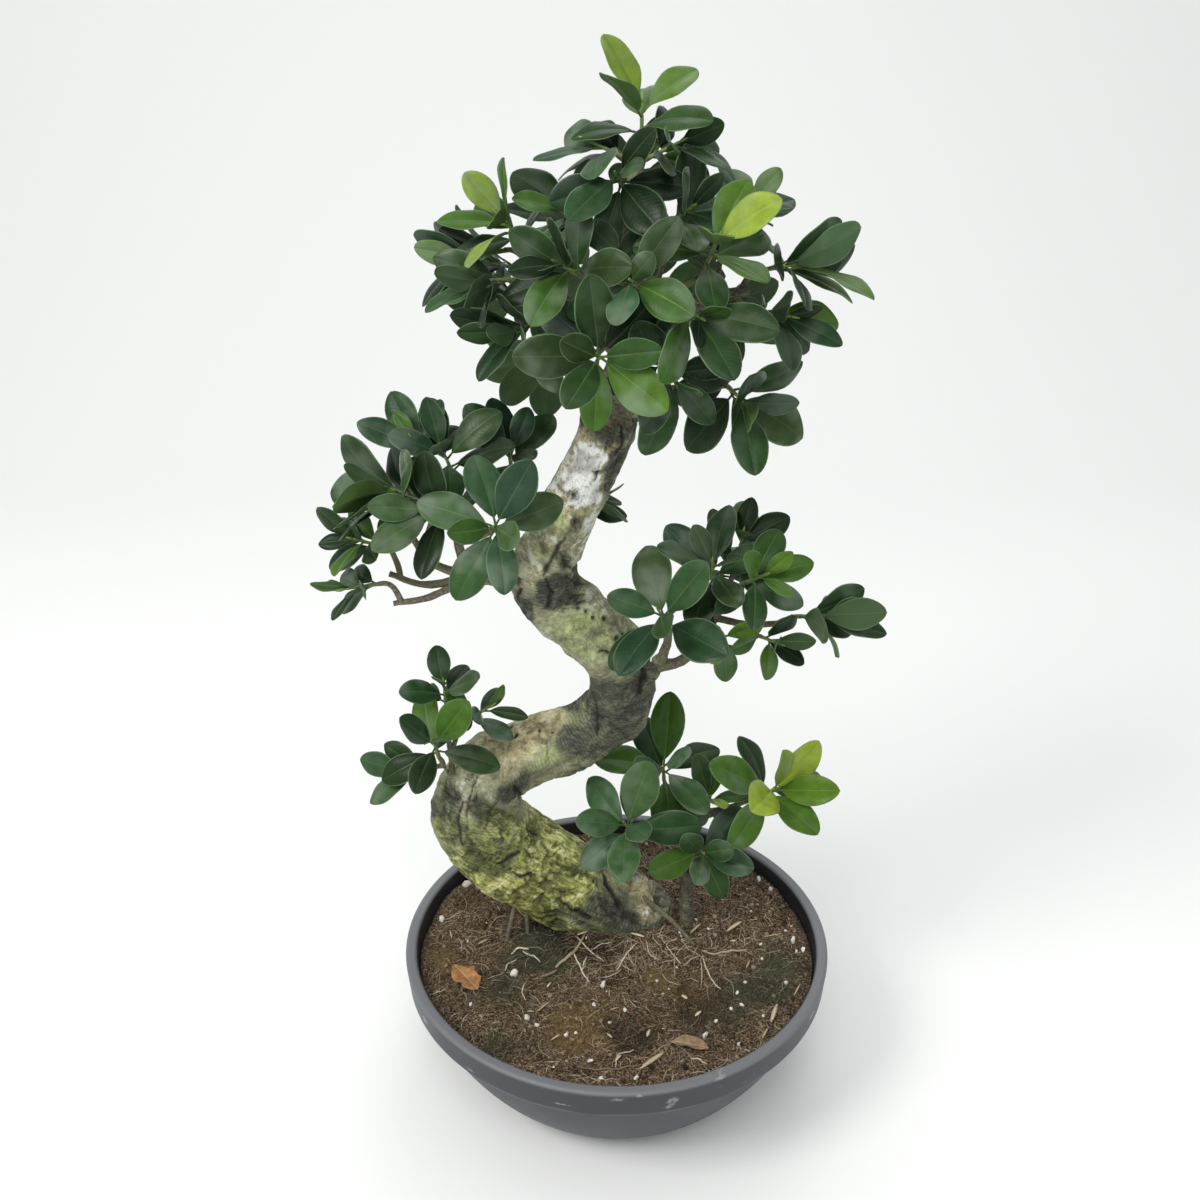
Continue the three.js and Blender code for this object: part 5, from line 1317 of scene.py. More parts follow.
# Moss, dark and pale along the trunk at each row of its line, for all sides; the dark is partly dark bark and
# partly painted shade.
STAIN = [
    [0.1, 0.6, 0.1], [0.45, 0.35, 0.05], [0.85, 0.05, 0.0], [0.85, 0.05, 0.0], [0.5, 0.25, 0.05],
    [0.15, 0.35, 0.1], [0.25, 0.2, 0.1], [0.25, 0.4, 0.05], [0.15, 0.7, 0.0], [0.12, 0.6, 0.0],
    [0.12, 0.15, 0.15], [0.1, 0.1, 0.2], [0.1, 0.55, 0.1], [0.15, 0.35, 0.15], [0.15, 0.15, 0.35],
    [0.05, 0.1, 0.45], [0, 0.2, 0.25], [0, 0.3, 0.1], [0, 0.35, 0.1], [0, 0.4, 0.1], [0.05, 0.35, 0.1],
    [0.1, 0.3, 0.1], [0.2, 0.2, 0.1], [0.3, 0.2, 0.1],
]
BARK = {
    "waves": [(34, 1.5), (16, 1.4), (8, 0.8), (4, 0.38)], "flutes": [(13, 1.2), (6.5, 0.7)],
    # Creases: size, width and depth; then how dark their painted shade is.
    "creases": [(21, 0.06, 1.3), (10, 0.08, 0.7)], "crease_shade": 0.55, "patches": 45,
    "warp": [(17, 5.0), (6, 2.0)], "close_warp": [(5, 0.9), (2.4, 0.4)], "warm": 0.1, "mottle": (26, 0.14),
    # shade: how strongly the small relief's height turns into painted shade and light.
    "drawn_out": 0.28, "shade": 0.42,
}
# The crust of moss, in millimetres: its height, its clumps' sizes and shares, and its thin flakes; the seam
# is where painted shade lies between the clumps, how wide it is and how dark.
CRUST = {
    "height": 1.1, "clumps": [(10, 1), (5, 0.6), (2.5, 0.35)], "flakes": 3, "flake": 0.6, "flake_size": 15,
    "sunk": 0.6, "least": 0.25, "seam": (-0.3, 0.12, 0.55),
}
# Knot: where its ring lies and how wide, the pit's share of its radius, and the pit depth that gives full
# painted shade.
KNOT = {"ring": 0.75, "ring_width": 0.35, "pit": 0.5, "shade_from": 1.6}
# Crack: its width's least and gain, its ends, how uneven it is and over what size, and the depth that gives
# full painted shade.
CRACK = {"least": 0.35, "gain": 0.85, "ends": 0.04, "uneven": 0.4, "uneven_size": 5, "shade_from": 1.8}
# Uneven radii of limbs and twigs: each wave's height as a share of the radius, size and seed.
LIMB_KNOBS = [(0.06, 12, 3)]
BRANCH_KNOBS = [(0.16, 6, 8), (0.1, 2.5, 9)]
TWIG_LOOK = {"bend": 14, "knob": 0.12, "knob_size": 5, "limb_moss": 0.5, "twig_moss": 0.9}


def merged(shapes, name):
    """Joins overlapping tubes into one even mesh. Gives the object with its points and normals."""
    mesh = bpy.data.meshes.new(name)
    mesh.from_pydata((np.concatenate(shapes.points) * MM).tolist(), [], shapes.faces)
    mesh.remesh_voxel_size = WOOD["voxel"] * MM
    piece = bpy.data.objects.new(name, mesh)
    bpy.context.scene.collection.objects.link(piece)
    bpy.context.view_layer.objects.active = piece
    bpy.ops.object.voxel_remesh()
    smooth = piece.modifiers.new("smooth", "SMOOTH")
    smooth.iterations = WOOD["smooth"]
    bpy.ops.object.modifier_apply(modifier=smooth.name)
    mesh = piece.data
    points, normals = np.empty(len(mesh.vertices) * 3), np.empty(len(mesh.vertices) * 3)
    mesh.vertices.foreach_get("co", points)
    mesh.vertex_normals.foreach_get("vector", normals)
    return piece, points.reshape(-1, 3) / MM, normals.reshape(-1, 3)


def warped(points, rows, seed):
    """Points shifted by smooth random amounts, so that marks laid over them get ragged outlines."""
    shifts = [height * np.stack([field(points, size, seed + 3 * i + k) for k in range(3)], -1)
              for i, (size, height) in enumerate(rows)]
    return points + sum(shifts)


def covered(pixels, at):
    """How many millimetres a number of the photograph's pixels covers at a point."""
    return pixels * np.linalg.norm(at - np.array(CAMERA["place"]) / MM) / CAMERA_SCALE


def bark_stain(points, ragged, surface, where):
    """How mossy, dark, pale and warm each point of the bark is."""
    row = np.minimum(where.astype(int), len(STAIN) - 2)
    stain = mix(np.array(STAIN)[row], np.array(STAIN)[row + 1], (where - row)[:, None])
    stain = np.column_stack([stain, np.full(len(points), BARK["warm"])])
    for u, v, radius, *change in SPOTS:
        at = on_surface(surface, u, v)
        if at is None:
            continue
        weight = np.exp(-(np.linalg.norm(ragged - at, axis=1) / covered(radius, at)) ** 4)
        stain += weight[:, None] * np.array(change)
    size, share = BARK["mottle"]
    return np.clip(stain + share * np.stack([layered(points, size, 3, 60 + k) for k in range(4)], -1), 0, 1)


def drawn_along(points, line, where):
    """How far along the trunk each point is, and points with the trunk's length drawn together."""
    rows = np.arange(len(line))
    lengths = np.concatenate([[0], np.cumsum(np.linalg.norm(np.diff(line, axis=0), axis=1))])
    travel = np.interp(where, rows, lengths)
    centre = np.stack([np.interp(where, rows, line[:, k]) for k in range(3)], -1)
    ahead = unit(np.gradient(line, axis=0))
    ahead = unit(np.stack([np.interp(where, rows, ahead[:, k]) for k in range(3)], -1))
    off = points - centre
    off -= ahead * (off * ahead).sum(1)[:, None]
    return travel, off + ahead * (travel * BARK["drawn_out"])[:, None]


def knot_marks(points, surface, out, hollow_shade):
    """Adds the rings, lumps and pits of the knots, with painted shade in the pits."""
    for u, v, radius, ring, depth in KNOTS:
        at = on_surface(surface, u, v)
        if at is None:
            continue
        away = np.linalg.norm(points - at, axis=1) / radius
        edge = (away - KNOT["ring"]) / KNOT["ring_width"]
        out += ring * np.exp(-edge ** 2) if depth else ring * np.exp(-(away ** 2))
        pit = np.exp(-(away / KNOT["pit"]) ** 2) * (depth > 0)
        out -= depth * pit
        hollow_shade = np.maximum(hollow_shade, pit * min(1.0, depth / KNOT["shade_from"]))
        if depth > 0 and radius > EYE["least"]:
            eye = np.exp(-((away - EYE["middle"]) / EYE["width"]) ** 2)
            hollow_shade = np.maximum(hollow_shade, eye * EYE["dark"])
    return out, hollow_shade


def crack_marks(points, close, surface, out, hollow_shade):
    """Adds the cracks and ridges, with painted shade in the cracks. A straight one is pointed at both ends, a
    longer one at its start.
    """
    uneven = 1 + CRACK["uneven"] * field(points, CRACK["uneven_size"], 95)
    for pixels, width, depth in CRACKS:
        row = [on_surface(surface, *mix(np.array(a, float), np.array(b, float), t))
               for a, b in zip(pixels, pixels[1:]) for t in (0, 0.25, 0.5, 0.75, 1)]
        row = [at for at in row if at is not None]
        if len(row) < 2:
            continue
        share = np.clip(nearest_on(close, row) / (len(row) - 1), CRACK["ends"], 1 - CRACK["ends"])
        wide = width * (CRACK["least"] + CRACK["gain"] * np.sin(np.pi * share)) * uneven
        mark = np.exp(-(distance_to(close, row) / wide) ** 2)
        out -= depth * mark
        if depth > 0:
            hollow_shade = np.maximum(hollow_shade, mark * min(1.0, depth / CRACK["shade_from"]))
    return out, hollow_shade


def bark_relief(points, surface, line):
    """How far each point of the bark moves out, and the values that its colours are mixed from, painted shade
    and light among them.
    """
    where = nearest_on(points, line)
    ragged = warped(points, BARK["warp"], 200)
    stain = bark_stain(points, ragged, surface, where)
    moss, warm = stain[:, 0], stain[:, 3]
    waves = [height * field(points, size, 10 + k) for k, (size, height) in enumerate(BARK["waves"])]
    travel, drawn = drawn_along(points, line, where)
    flutes = [height * field(drawn, size, 80 + k) for k, (size, height) in enumerate(BARK["flutes"])]
    out = sum(waves) + sum(flutes)
    small = waves[2] + waves[3] + flutes[1]
    # Painted shade in hollows, from nought to one: creases, moss seams, knot pits and cracks.
    hollow_shade = np.zeros(len(points))
    patchy = step_up(field(points, BARK["patches"], 300), -0.3, 0.3)
    for k, (size, width, depth) in enumerate(BARK["creases"]):
        crease = np.exp(-(field(ragged, size, 310 + k) / width) ** 2) * patchy
        out -= depth * crease
        hollow_shade = np.maximum(hollow_shade, crease * BARK["crease_shade"])
    clumps = sum(share * field(points, size, 31 + k) for k, (size, share) in enumerate(CRUST["clumps"]))
    raised = step_up(clumps, -0.28, 0.02)
    grown = step_up(moss, 0.4, 0.75)
    out += grown * CRUST["height"] * (raised - CRUST["sunk"])
    tiers = CRUST["flakes"] * (layered(points, CRUST["flake_size"], 3, 36) + 1)
    tiers -= np.floor(tiers)
    out += grown * CRUST["flake"] * (step_up(tiers, 0.0, 0.25) - 0.5)
    small = small + grown * (step_up(tiers, 0.0, 0.3) - 0.7) * 1.2
    crust = CRUST["least"] + (1 - CRUST["least"]) * raised
    middle, width, dark = CRUST["seam"]
    hollow_shade = np.maximum(hollow_shade, grown * np.exp(-((clumps - middle) / width) ** 2) * dark)
    close = warped(points, BARK["close_warp"], 400)
    out, hollow_shade = knot_marks(close, surface, out, hollow_shade)
    out, hollow_shade = crack_marks(points, close, surface, out, hollow_shade)
    # Painted shade and light: the small relief, from low and dark to raised and light.
    shade = np.clip(0.5 + BARK["shade"] * small, 0, 1)
    relief = np.stack([np.clip(hollow_shade, 0, 1), crust, warm], -1)
    grain = np.stack([shade, travel * MM, np.zeros(len(points))], -1)
    return out, {"stain": stain[:, :3], "relief": relief, "grain": grain, "drawn": drawn * MM}


def knobs_of(p, waves):
    """How much larger the radius is at each place, as a share of it."""
    return sum(height * field(p, size, seed) for height, size, seed in waves)


def wood_tube(shapes, line, sides, steps, knobs, **values):
    """A tube along a smooth curve whose radius grows by what knobs gives for each of its points."""
    points, radii = curve_through(line, steps)
    rings, faces = tube(points, radii, sides)
    rings = rings.reshape(len(points), sides, 3)
    rings = points[:, None] + (rings - points[:, None]) * (1 + knobs(rings))[..., None]
    shapes.add(rings, faces, **values)


def trunk_bark(material):
    """The trunk, its thick roots and limbs, merged into one skin with every mark of its bark."""
    shapes = Shapes()
    steps = WOOD["trunk_steps"]
    wood_tube(shapes, TRUNK_LINE, WOOD["trunk_sides"], steps, lambda p: swelling(p) - 1)
    for line in [*ROOTS, SIDE_STEM, *[LIMBS[name] for name in THICK_LIMBS]]:
        wood_tube(shapes, line, WOOD["limb_sides"], steps, lambda p: knobs_of(p, LIMB_KNOBS))
    piece, points, normals = merged(shapes, "trunk_bark")
    mesh = piece.data
    surface = BVHTree.FromPolygons(points.tolist(), [tuple(f.vertices) for f in mesh.polygons])
    line, _ = curve_through(TRUNK_LINE, 1)
    out, values = bark_relief(points, surface, line)
    mesh.vertices.foreach_set("co", ((points + normals * out[:, None]) * MM).ravel())
    put_vectors(mesh, values)
    mesh.materials.clear()
    mesh.materials.append(material)
    mesh.shade_smooth()
    mesh.update()
    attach(piece, "root")
    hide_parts("trunk")


def branches(shoots, material):
    """The thinner limbs and twigs of both sides, and the thin hanging roots."""
    shapes = Shapes()
    lines = [line for name, line in LIMBS.items() if name not in THICK_LIMBS]
    far_limbs = dict.fromkeys(s["limb"] for s in shoots if s["far"])
    lines += [limb_line(name, True) for name in far_limbs] + THIN_ROOTS
    for line in lines:
        wood_tube(
            shapes, line, WOOD["branch_sides"], WOOD["branch_steps"], lambda p: knobs_of(p, BRANCH_KNOBS),
            tone=(TWIG_LOOK["limb_moss"], 0, 0),
        )
    t = np.linspace(0, 1, WOOD["twig_rows"])
    for shoot in shoots:
        curve = twig_curve(shoot)
        points = np.array([on_curve(curve, k) for k in t])
        bend = np.array([field(points, TWIG_LOOK["bend"], 50 + k) for k in range(3)]).T
        points += bend * np.sin(np.pi * t)[:, None]
        knobs = TWIG_LOOK["knob"] * field(points, TWIG_LOOK["knob_size"], 33)
        radii = mix(TWIG["root"], TWIG["end"], t) * (1 + knobs)
        shapes.add(*tube(points, radii, WOOD["twig_sides"]), tone=(TWIG_LOOK["twig_moss"], 0, 0))
    shapes.piece("branches", material, "bark", ["trunk"])


# Bowl
LATHE = {"sides": 240, "hub": 30, "bend_rows": 26, "corner_rows": 6, "hole_sides": 32, "beyond": 5}
# Scuffs on the bowl by pixel, with how far they reach along and up in millimetres.
SCUFFS = [
    (721, 1078, 7, 2.5), (720, 1087, 5, 2), (673, 1100, 7, 5), (668, 1107, 5, 2.5), (619, 1100, 8, 3),
    (785, 1058, 5, 4), (560, 1104, 12, 1.5), (640, 1096, 5, 2), (470, 1070, 8, 2), (745, 1083, 10, 1.5),
    (812, 1015, 4, 6), (425, 1020, 4, 5),
]
# The band's lower edge: its rounding in millimetres, the rows of the band, and how wide the painted highlight
# line along that edge is.
SEAM = {"round": 1.2, "rows": 9, "light": 0.9}
# Roundings of the bowl's corners in millimetres: the foot, the wall's top, the rim's outer and inner edges.
CORNERS = {"foot": 2.5, "wall": 0.6, "rim_side": 1.4, "rim_top": 1.2}
# Where rows of the rim lie, in millimetres from its edges.
RIM = {"below": 1.5, "outer": 2.5, "inner": 2, "inner_below": 2.5, "band_from": 3, "band_to": 4, "groove": 1}
# Painted light on the bowl, in millimetres: a painted highlight on the rim's top and along the band's lower
# edge, and painted shadow at the foot.
PAINTED_BOWL_LIGHT = {
    "edge_from": 12, "edge_to": 8, "edge_below": (4, 1), "seam_from": 4.5, "seam_to": 3, "seam_up": 0.5,
    "seam_patches": 22, "foot": 3, "foot_shadow": 0.8,
}


def curve_rows(a, b, c, count):
    """Rows along a curve from a to c that bends towards b."""
    t = np.linspace(0, 1, count)[:, None]
    a, b, c = (np.array(p, float) for p in (a, b, c))
    return ((1 - t) ** 2 * a + 2 * (1 - t) * t * b + t * t * c).tolist()


def rounded(rows):
    """Rows of radius, height and rounding, with each rounded corner turned into a short curve."""
    out = []
    for i, (r, z, size) in enumerate(rows):
        at = np.array([r, z], float)
        if not size:
            out.append(at.tolist())
            continue
        before, after = (np.array(rows[i + k][:2], float) for k in (-1, 1))
        start, end = at + unit(before - at) * size, at + unit(after - at) * size
        out += curve_rows(start, at, end, LATHE["corner_rows"])
    return out


def wall_top():
    """The wall's outer radius under the rim band, and its height there."""
    return BOWL["rim"] - BOWL["taper"] - BOWL["step"], BOWL["height"] - BOWL["band"]


def bowl_inside(z):
    """The bowl's inside radius at a height, by its wall's own curve."""
    rows = np.array(inner_rows())
    return np.interp(z, rows[:, 1], rows[:, 0])


def inner_rows():
    """Rows of radius and height up the bowl's inside."""
    wall = BOWL["wall"]
    radius, top = wall_top()
    lower = curve_rows(
        (BOWL["base"] - wall, BOWL["floor"]), (BOWL["belly"] - wall, BOWL["belly_height"]),
        (radius - wall - RIM["groove"], top), LATHE["bend_rows"],
    )
    return lower + [[BOWL["rim"] - BOWL["rim_width"], BOWL["height"] - BOWL["rim_round"]]]


def bowl_profile():
    """Rows of radius and height round the bowl's section, from its base over the rim to its floor."""
    rim, tall = BOWL["rim"], BOWL["height"]
    radius, top = wall_top()
    outer = curve_rows(
        (BOWL["base"], BOWL["base_edge"]), (BOWL["belly"], BOWL["belly_height"]), (radius, top),
        LATHE["bend_rows"],
    )
    rows = [[LATHE["hub"], 0, 0], [BOWL["base"] - BOWL["base_edge"], 0, CORNERS["foot"]]]
    rows += [[*p, 0] for p in outer[:-1]] + [[*outer[-1], CORNERS["wall"]]]
    rows.append([rim - BOWL["taper"], top, SEAM["round"]])
    band = np.linspace(top + RIM["band_from"], tall - RIM["band_to"], SEAM["rows"])
    for z in [top + SEAM["round"] * 1.4, *band]:
        rows.append([rim - BOWL["taper"] * (1 - (z - top) / (tall - top)), z, 0])
    inside_rim = rim - BOWL["rim_width"]
    rows += [[rim, tall - RIM["below"], CORNERS["rim_side"]], [rim - RIM["outer"], tall, CORNERS["rim_top"]]]
    rows += [
        [inside_rim + RIM["inner"], tall, CORNERS["rim_side"]],
        [inside_rim, tall - RIM["inner_below"], CORNERS["rim_top"]],
    ]
    rows += [[*p, 0] for p in inner_rows()[::-1][1:]] + [[LATHE["hub"], BOWL["floor"], 0]]
    return np.array(rounded(rows))


def drill(bowl, material):
    """Cuts the drainage holes through the bowl's floor."""
    holes = Shapes()
    for i in range(DRAIN["count"]):
        angle = 2 * math.pi * i / DRAIN["count"]
        at = np.array([DRAIN["circle"] * math.sin(angle), -DRAIN["circle"] * math.cos(angle), 0])
        rows = np.array([at + UP * z for z in (-LATHE["beyond"], BOWL["floor"] + LATHE["beyond"])])
        holes.add(*tube(rows, [DRAIN["radius"]] * 2, LATHE["hole_sides"]))
    cutter = holes.piece("holes", material, "bowl")
    cut = bowl.modifiers.new("holes", "BOOLEAN")
    cut.operation, cut.object, cut.solver = "DIFFERENCE", cutter, "EXACT"
    bpy.context.view_layer.objects.active = bowl
    bpy.ops.object.modifier_apply(modifier=cut.name)
    bpy.data.objects.remove(cutter)


def bowl_scuffs_and_painted_light(p, surface):
    """How scuffed each point of the bowl is, how much painted highlight and how much painted shade it has."""
    rim, tall = BOWL["rim"], BOWL["height"]
    _, top = wall_top()
    radius = np.hypot(p[:, 0], p[:, 1])
    scuff = np.zeros(len(p))
    for u, v, along, up in SCUFFS:
        at = on_surface(surface, u, v)
        if at is None:
            continue
        scuff += np.exp(-((p[:, 0] - at[0]) / along) ** 2 - ((p[:, 2] - at[2]) / up) ** 2) * (p[:, 1] < 0)
    # Painted highlight on the rim's top, where light from above falls.
    below, above = PAINTED_BOWL_LIGHT["edge_below"]
    edge = step_up(radius, rim - PAINTED_BOWL_LIGHT["edge_from"], rim - PAINTED_BOWL_LIGHT["edge_to"])
    edge *= step_up(p[:, 2], tall - below, tall - above)
    # Painted highlight line along the band's lower edge, broken into patches.
    seam = np.exp(-((p[:, 2] - top - PAINTED_BOWL_LIGHT["seam_up"]) / SEAM["light"]) ** 2)
    seam *= step_up(radius, rim - PAINTED_BOWL_LIGHT["seam_from"], rim - PAINTED_BOWL_LIGHT["seam_to"])
    edge = np.maximum(edge, seam * step_up(field(p, PAINTED_BOWL_LIGHT["seam_patches"], 610), -0.9, 0.2))
    # Painted shade on the inside wall above the soil.
    inner = bowl_inside(p[:, 2]) + BOWL["wall"] / 2
    painted_wall_shade = step_up(inner - radius, 0, 1) * step_up(tall - 1 - p[:, 2], 0, 2)
    # Painted shadow at the foot, where the bowl meets the floor.
    foot = step_up(BOWL["base_edge"] + PAINTED_BOWL_LIGHT["foot"] - p[:, 2], 0, PAINTED_BOWL_LIGHT["foot"])
    return np.stack([np.clip(scuff, 0, 1), edge, np.maximum(painted_wall_shade, PAINTED_BOWL_LIGHT["foot_shadow"] * foot)], -1)


def plastic_bowl(material):
    """The bowl, turned round its section, with its holes, its scuffs, and its painted highlights and shade.
    """
    profile = bowl_profile()
    sides = LATHE["sides"]
    turn = np.arange(sides) * 2 * math.pi / sides
    points = np.stack([
        profile[:, :1] * np.sin(turn), -profile[:, :1] * np.cos(turn), np.repeat(profile[:, 1:], sides, 1),
    ], -1)
    faces = grid_faces(len(profile), sides, True).tolist() + end_caps(len(profile), sides)
    bowl = make_piece("plastic_bowl", points.reshape(-1, 3), faces, material, ["bowl"])
    drill(bowl, material)
    mesh = bowl.data
    p = np.empty(len(mesh.vertices) * 3)
    mesh.vertices.foreach_get("co", p)
    p = p.reshape(-1, 3) / MM
    surface = BVHTree.FromPolygons(p.tolist(), [tuple(f.vertices) for f in mesh.polygons])
    put_vectors(mesh, {"scuffs_and_painted_light": bowl_scuffs_and_painted_light(p, surface)})
    mesh.shade_smooth()
    mesh.update()


# Soil
GRAIN = {
    "cells": 236, "lumps": [(9, 0.9), (4.5, 0.6), (2.3, 0.35)], "crumb": 5.2, "crumb_height": 1.5,
    "rim": 0.4, "sink": 2.5, "sink_width": 6, "side": 0.3, "side_top": 8, "side_rows": 9,
}
# Places on the soil by pixel: radius in pixels, then moss, golden and damp.
SOIL_SPOTS = [
    (535, 950, 32, 1.3, 0, 0), (556, 966, 20, 0.7, 0, 0), (508, 995, 24, 0.9, 0, 0.2),
    (780, 965, 34, 1, 0, 0), (760, 1000, 22, 0.8, 0, 0), (662, 985, 14, 0.3, 0.9, 0),
    (690, 1030, 24, 0.6, 0, 0.3), (500, 1050, 26, 0.7, 0, 0.2), (575, 1025, 34, 0, 1, 0),
    (455, 960, 20, 0, 0.6, 0), (470, 900, 22, 0.2, 0.3, 0.4), (625, 1035, 26, 0, 0, 0.7),
    (700, 1000, 40, 0.1, 0.3, 0.3), (740, 1000, 30, 0.5, 0, 0.2), (600, 955, 30, 0.2, 0, 0.7),
    (440, 950, 30, 0, 0.3, 0.3), (560, 930, 26, 0.3, 0, 0.8),
]
# How far from the middle litter may lie: what is placed by pixel, strands, scattered things and loose grains.
REACH = {"pixel": 161, "strand": 165.5, "scattered": 164.0, "grain": 158}
SOIL_WARP = [(24, 9.0), (9, 5.0), (4, 2.0)]
# How many times the place where a line of sight meets the uneven soil is worked out anew.
SIGHT_ROUNDS = 6


def soil_height(x, y):
    """The height of the soil's even face, as the solid has it."""
    away = np.hypot(x - SOIL["middle_x"], y - SOIL["middle_y"]) / SOIL["spread"]
    waves = np.sin(x / SOIL["across"]) * np.cos(y / SOIL["along"] + SOIL["shift"])
    waves = waves + np.sin((x + y) / SOIL["slanted"])
    return SOIL["edge"] + SOIL["mound"] * np.exp(-away ** 2) + SOIL["lump"] * waves


def soil_point(u, v):
    """The point of the soil that the camera sees at a pixel, kept off the bowl's wall."""
    place, ahead = ray_through(u, v)
    z = SOIL["edge"] + SOIL["guess"]
    for _ in range(SIGHT_ROUNDS):
        at = place + ahead * ((z - place.z) / ahead.z)
        z = float(soil_height(np.array(at.x), np.array(at.y)))
    shrink = min(1, REACH["pixel"] / math.hypot(at.x, at.y))
    return np.array([at.x * shrink, at.y * shrink, at.z])


def soil_stain(points):
    """How mossy, golden and damp each place is."""
    flat = np.column_stack([points[:, :2], np.zeros(len(points))])
    flat = warped(flat, SOIL_WARP, 500)
    stain = np.zeros((len(points), 3))
    for u, v, radius, *change in SOIL_SPOTS:
        at = soil_point(u, v)
        away = np.linalg.norm(flat[:, :2] - at[:2], axis=1) / covered(radius, at)
        stain += np.exp(-(away ** 2))[:, None] * np.array(change)
    return np.clip(stain, 0, 1)


def soil_surface(points):
    """The fine soil's height over points, with its lumps and crumbs."""
    flat = np.stack([points[:, 0], points[:, 1], 0 * points[:, 0]], -1)
    z = soil_height(points[:, 0], points[:, 1])
    z = z + sum(height * field(flat, size, 30 + k) for k, (size, height) in enumerate(GRAIN["lumps"]))
    away, number = cells_of(flat, GRAIN["crumb"], 44)
    return z + GRAIN["crumb_height"] * number * (1 - (away / GRAIN["crumb"]) ** 2)


def disc_grid(n):
    """Radius from -1 to 1, and turn, of each point of a net of n by n cells drawn into a disc."""
    a, b = np.meshgrid(np.linspace(-1, 1, n + 1), np.linspace(-1, 1, n + 1), indexing="ij")
    wide = np.abs(a) > np.abs(b)
    r = np.where(wide, a, b)
    with np.errstate(divide="ignore", invalid="ignore"):
        turn = np.where(wide, np.pi / 4 * b / a, np.pi / 2 - np.pi / 4 * a / b)
    return r, np.nan_to_num(turn)


def soil_body(material):
    """The soil: a fine uneven face over a plain body that fills the bowl."""
    n = GRAIN["cells"]
    r, turn = disc_grid(n)
    edge = bowl_inside(SOIL["edge"]) - SOIL["gap"] - GRAIN["rim"]
    points = np.stack([r * np.cos(turn) * edge, r * np.sin(turn) * edge, 0 * r], -1).reshape(-1, 3)
    points[:, 2] = soil_surface(points)
    away = np.hypot(points[:, 0], points[:, 1])
    points[:, 2] -= GRAIN["sink"] * step_up(away, edge - GRAIN["sink_width"], edge)
    faces = grid_faces(n + 1, n + 1, False).tolist()
    i = np.arange(n)
    ring = np.concatenate([i * (n + 1), n * (n + 1) + i, (n - i) * (n + 1) + n, n - i])
    border = points[ring]
    rows, blocks, count = [ring], [points], len(points)
    for z in np.linspace(SOIL["edge"] - GRAIN["side_top"], BOWL["floor"] + SOIL["gap"], GRAIN["side_rows"]):
        radius = bowl_inside(z) - SOIL["gap"] - GRAIN["side"]
        blocks.append(np.concatenate([unit(border[:, :2]) * radius, np.full((len(border), 1), z)], 1))
        rows.append(np.arange(count, count + len(border)))
        count += len(border)
    for upper, lower in zip(rows, rows[1:]):
        faces += np.stack([upper, lower, np.roll(lower, -1), np.roll(upper, -1)], -1).tolist()
    faces.append(rows[-1][::-1].tolist())
    points = np.concatenate(blocks)
    piece = make_piece("soil_bed", points, faces, material, ["soil"], {"stain": soil_stain(points)})
    normals_out(piece)


def normals_out(piece):
    """Turns every face of a closed mesh outward."""
    work = bmesh.new()
    work.from_mesh(piece.data)
    bmesh.ops.recalc_face_normals(work, faces=work.faces)
    work.to_mesh(piece.data)
    work.free()


# Litter on the soil
LITTER = {
    "damp_dark": 0.5, "strand_lift": 0.4, "strand_taper": 0.6, "stretch": (0.6, 0.8),
}
# Random values of the litter: the least, what a share from 0 to 1 adds, and the power of that share.
COIR = {
    "count": 5600, "seed": 3, "pale_share": 0.2, "pale": (0.8, 0.2), "dark": (0, 0.75, 1.5),
    "heading": (0, 7), "length": (4, 13, 2), "radius": (0.13, 0.19, 2), "curl": 3, "lift": (0, 1.2, 2),
    "sides": 3, "rows": 5, "roughness": 0.9,
}
FINE_ROOTS = {
    "count": 330, "seed": 5, "more": 260, "near": (610, 952), "spread": (62, 24),
    "heading": (0, 7), "length": (8, 22, 1.5), "radius": (0.15, 0.2), "curl": 4, "lift": (0, 1.6),
    "sides": 4, "rows": 7, "roughness": 0.8,
}
CRUMBS = {
    "count": 2600, "seed": 7, "size": (0.5, 1.5, 2), "shade": (0, 1, 1.5), "seat": 0.35,
    "levels": 1, "rough": 0.5, "shape_seed": 8, "stained": 1, "roughness": 0.95,
}
WHITE = {
    "count": 40, "seed": 11, "size": (0.8, 0.8), "shade": (0.4, 0.6), "seat": 0.5,
    "levels": 2, "rough": 0.55, "shape_seed": 12, "stained": 0, "roughness": 0.8,
}
ROOTLET = {
    "steps": 5, "sides": 7, "sway": 0.5, "sway_size": 6, "seat": (1.1, 0.5), "taper": 0.45,
    "uneven": 0.2, "uneven_size": 4,
}
STRAW = {
    "rows": 6, "ends": (0.08, 0.84), "blunt": 0.7, "seat": 0.5, "bow": 0.5, "tilt": 1.6,
    "thick": (0.16, 0.05), "roughness": 0.75,
}


def on_soil(count, seed, reach=REACH["scattered"]):
    """Random places over the soil's disc."""
    rng = np.random.default_rng(seed)
    radius, turn = reach * np.sqrt(rng.random(count)), 2 * np.pi * rng.random(count)
    return np.stack([radius * np.cos(turn), radius * np.sin(turn)], -1), rng


def draws(rng, count, least, gain, power=1):
    """Random values, most of them near the least where the power is above 1."""
    return least + gain * rng.random(count) ** power


def litter_tone(places, shades):
    """Each piece's shade, darker where it is damp, with how mossy and golden its place is."""
    moss, gold, damp = soil_stain(places).T
    return np.column_stack([shades * (1 - LITTER["damp_dark"] * damp), moss, gold])


def repeated(faces, step, count):
    """The faces of one small shape, for each of many that follow each other in one mesh."""
    return [[i + k * step for i in face] for k in range(count) for face in faces]


